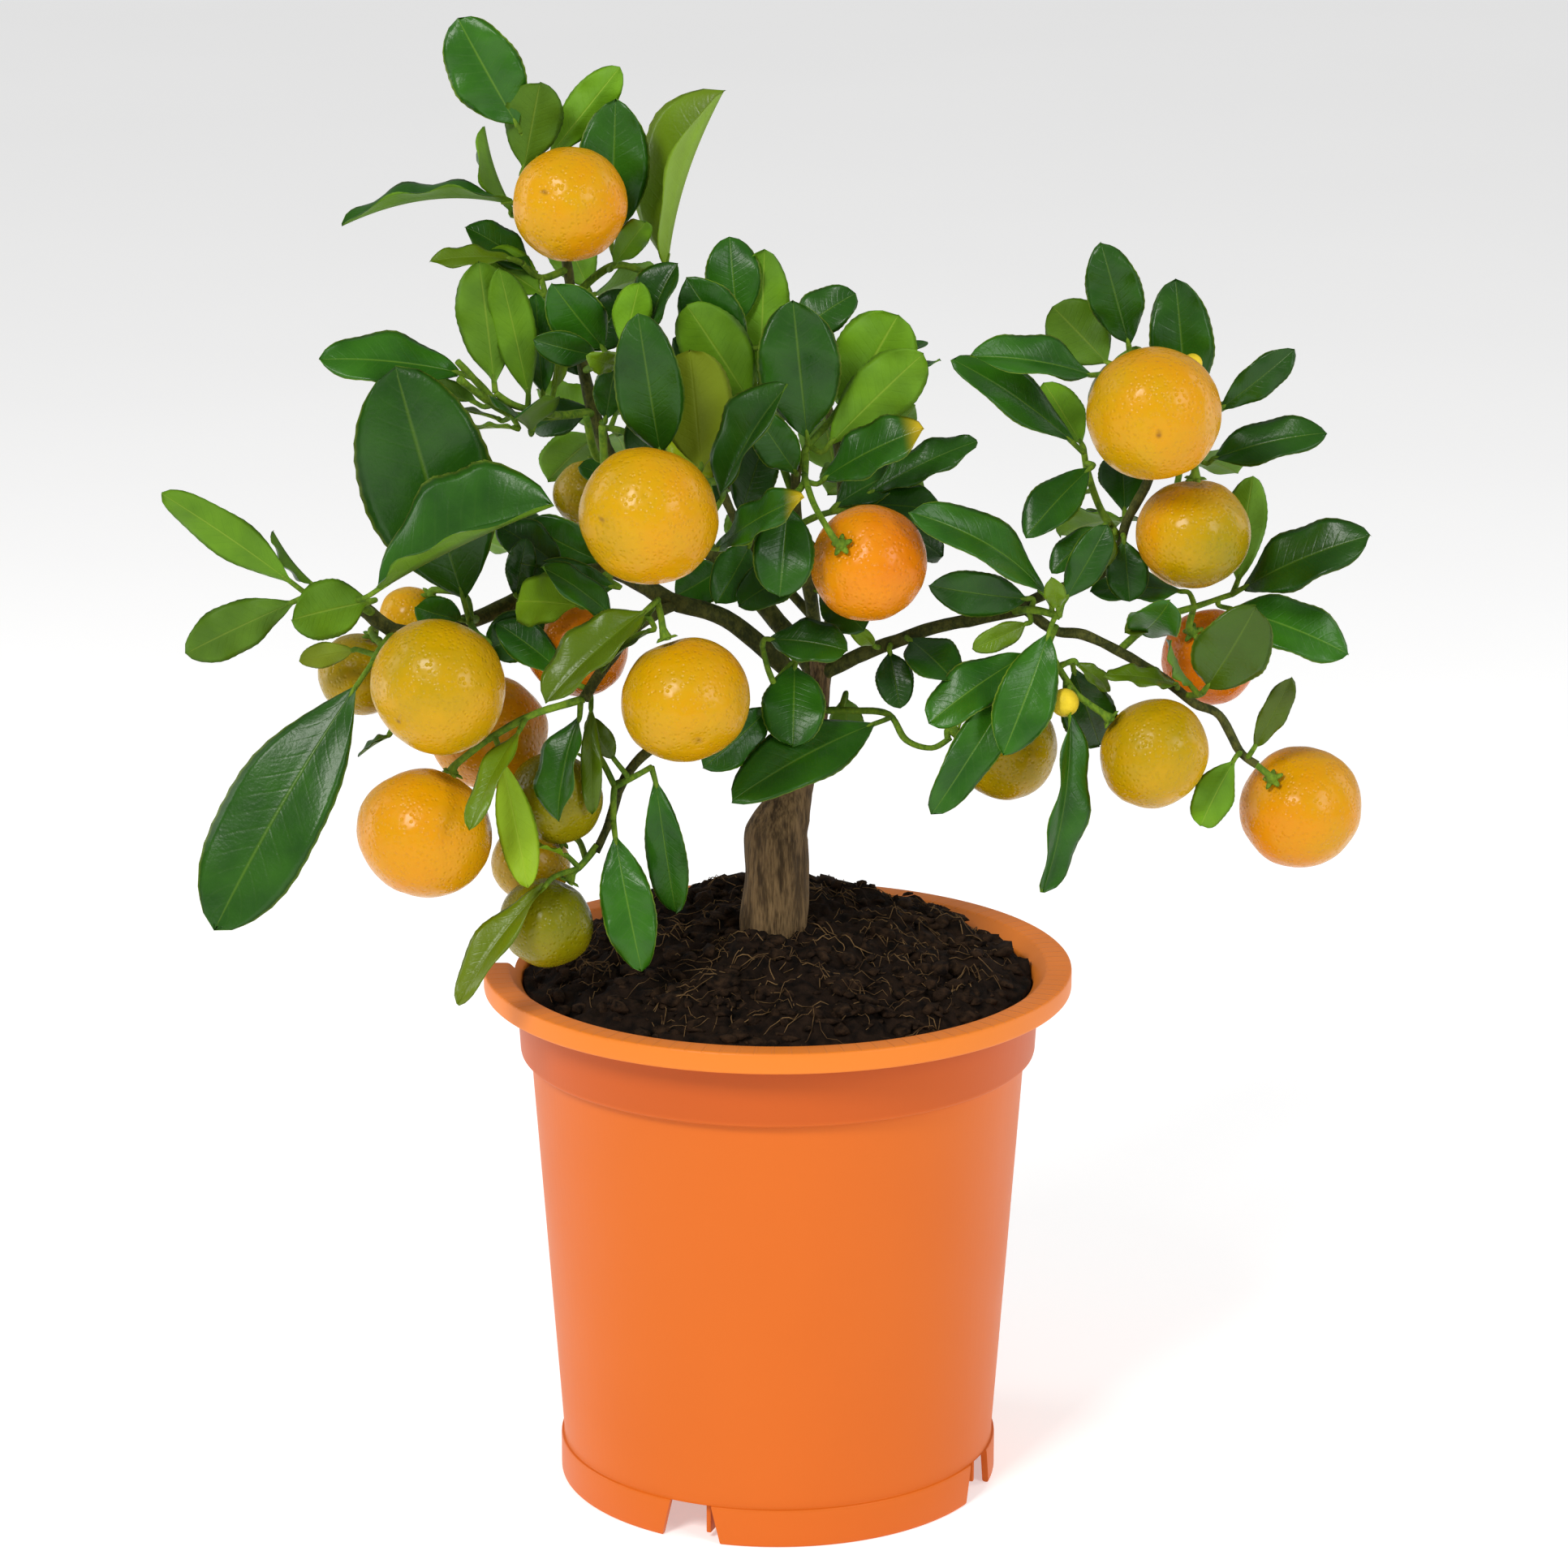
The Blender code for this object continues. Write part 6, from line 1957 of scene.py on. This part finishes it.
    def build(self) -> None:
        """Make the trunk, the limbs and the shoots."""
        fruitlet = Loam("young_peel", (0.75, 0.55, 0.03), (0.55, 0.42, 0.02), 200.0, 0.5)
        self.finishes["fruitlet"] = fruitlet.build()
        self.trunk()
        for name, spray in SPRAYS.items():
            self.spray(name, spray)


@dataclass
class Crop:
    """The fruits, each with its own form, ripeness and scars."""

    rim: float
    dimple: float = 0.07
    scar_size: float = 0.05
    chance: random.Random = field(default_factory=lambda: random.Random(23))

    def form(self, name: str, fruit: Fruit) -> Form:
        """Return one fruit, oblate and dimpled, with its peel_data.

        Args:
            name: The fruit's node.
            fruit: Its place and size.

        Returns:
            The fruit in its place.
        """
        radius = fruit.radius * MM
        stem = Vector(fruit.stem).normalized()
        look = RIPENESS[name]
        scar = Vector(look.scar).normalized() if look.scar else -stem
        green = Vector(look.green_side).normalized()
        seed = Vector([self.chance.uniform(0, 50) for _ in range(3)])
        centre = plant_point(fruit.centre, self.rim)
        form = bmesh.new()
        bmesh.ops.create_uvsphere(form, u_segments=72, v_segments=48, radius=1.0)
        turn(form, FACES["U"].rotation_difference(stem).to_matrix())
        peel = form.verts.layers.float_color.new("peel_data")
        for vert in form.verts:
            out = vert.co.normalized()
            axis = out.dot(stem)
            near_stem = math.exp(-((1 - axis) / 0.03))
            near_scar = 1 - out.dot(scar)
            squash = 1 - (1 - FRUIT_FLATNESS) * axis * axis
            lumps = noise.noise(out * 1.6 + seed) * 0.03 + noise.noise(out * 5 + seed) * 0.008
            navel = math.exp(-(near_scar / 0.02)) * 0.035
            shape = squash + lumps * (1 - near_stem) - self.dimple * near_stem - navel
            cloud = noise.noise(out * 2.2 + seed * 2) * 0.035
            ripe = look.ripe - look.greening * max(0.0, out.dot(green)) + cloud
            spot = math.exp(-((near_scar / (self.scar_size**2 * 0.5)) ** 2))
            vert[peel] = (ripe, spot * 0.9, 0.0, 1.0)
            vert.co = centre + out * radius * shape
        return form

    def build(self) -> None:
        """Make every fruit."""
        peel = Peel().build()
        for name, fruit in FRUITS.items():
            piece = piece_from(name + "_ripening", self.form(name, fruit), [peel])
            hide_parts(name)
            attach(piece, "root")


# ---------------------------------------------------------------- the studio


@dataclass
class Studio:
    """A plain pale floor, soft lights and a camera at the plant's front, a little above."""

    target: Place
    distance: float = 1.2
    elevation: float = math.radians(15.1)
    lens: float = 116.7
    ambience: float = 0.37
    backdrop: float = 0.88
    floor_glow: float = 0.4

    def floor(self) -> None:
        """Lay the floor."""
        paint = Shader("studio_floor")
        tones = {"First": (0.86, 0.86, 0.86), "Second": (0.9, 0.9, 0.9)}
        tint = paint.group(Patterns.mottle(), **tones, Scale=3.0, Spread=0.4)
        paint.finish(
            Base_Color=tint.outputs["Colour"],
            Roughness=0.7,
            Emission_Color=(1.0, 1.0, 1.0),
            Emission_Strength=self.floor_glow,
        )
        form = bmesh.new()
        bmesh.ops.create_grid(form, x_segments=4, y_segments=4, size=8.0)
        floor = piece_from("studio_floor", form, [paint.material])

    def light(
        self, name: str, place: Place, size: tuple[float, float], power: float, colour: Colour
    ) -> None:
        """Add a soft area light that faces the plant.

        Args:
            name: The light's name.
            place: Where it stands.
            size: Its width and height.
            power: Its power in watts.
            colour: Its colour.
        """
        lamp = bpy.data.lights.new(name, "AREA")
        lamp.shape = "RECTANGLE"
        lamp.size, lamp.size_y = size
        lamp.energy = power
        lamp.color = colour
        stand = bpy.data.objects.new(name, lamp)
        stand.location = place
        aim = Vector(self.target) - Vector(place)
        stand.rotation_euler = aim.to_track_quat("-Z", "Y").to_euler()
        bpy.context.scene.collection.objects.link(stand)

    def camera(self) -> None:
        """Stand the camera in front of the plant."""
        lens = bpy.data.cameras.new("camera")
        lens.lens = self.lens
        lens.sensor_width = 36
        lens.clip_end = 50
        stand = bpy.data.objects.new("camera", lens)
        back = Vector((0, -math.cos(self.elevation), math.sin(self.elevation)))
        stand.location = Vector(self.target) + back * self.distance
        stand.rotation_euler = (-back).to_track_quat("-Z", "Y").to_euler()
        bpy.context.scene.collection.objects.link(stand)
        bpy.context.scene.camera = stand

    def build(self) -> None:
        """Set up the floor, the lights, the world and the camera."""
        self.floor()
        self.light("key", (-0.75, -1.3, 1.35), (0.5, 0.5), 23.0, (1.0, 0.985, 0.96))
        self.light("fill", (1.1, -1.1, 0.9), (0.5, 0.7), 9.0, (0.97, 0.985, 1.0))
        self.light("left_edge", (-1.0, 0.25, 0.45), (0.35, 1.2), 4.0, (1.0, 1.0, 1.0))
        self.light("right_edge", (1.0, 0.3, 0.45), (0.35, 1.2), 3.0, (1.0, 1.0, 1.0))
        world = bpy.data.worlds.new("studio")
        world.use_nodes = True
        nodes, links = world.node_tree.nodes, world.node_tree.links
        sky = nodes["Background"]
        sky.inputs["Color"].default_value = (1.0, 1.0, 1.0, 1.0)
        ray = nodes.new("ShaderNodeLightPath")
        seen = nodes.new("ShaderNodeMapRange")
        seen.inputs["To Min"].default_value = self.ambience
        seen.inputs["To Max"].default_value = self.backdrop
        links.new(ray.outputs["Is Camera Ray"], seen.inputs["Value"])
        links.new(seen.outputs["Result"], sky.inputs["Strength"])
        bpy.context.scene.world = world
        bpy.context.scene.view_settings.view_transform = "Standard"
        self.camera()


def main() -> None:
    """Build the plant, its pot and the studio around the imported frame."""
    logging.basicConfig(level=logging.INFO, format="%(message)s")
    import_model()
    pot_low, pot_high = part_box("pot")
    pot = NurseryPot(height=pot_high[2] - pot_low[2], rim_radius=(pot_high[0] - pot_low[0]) / 2)
    Studio(target=(1.5 * MM, 0, pot.height + 44.1 * MM)).build()
    pot.build()
    PottingMix(pot).build()
    Tree(rim=pot.height).build()
    Crop(rim=pot.height).build()
    bpy.context.view_layer.update()


if __name__ == "__main__":
    main()
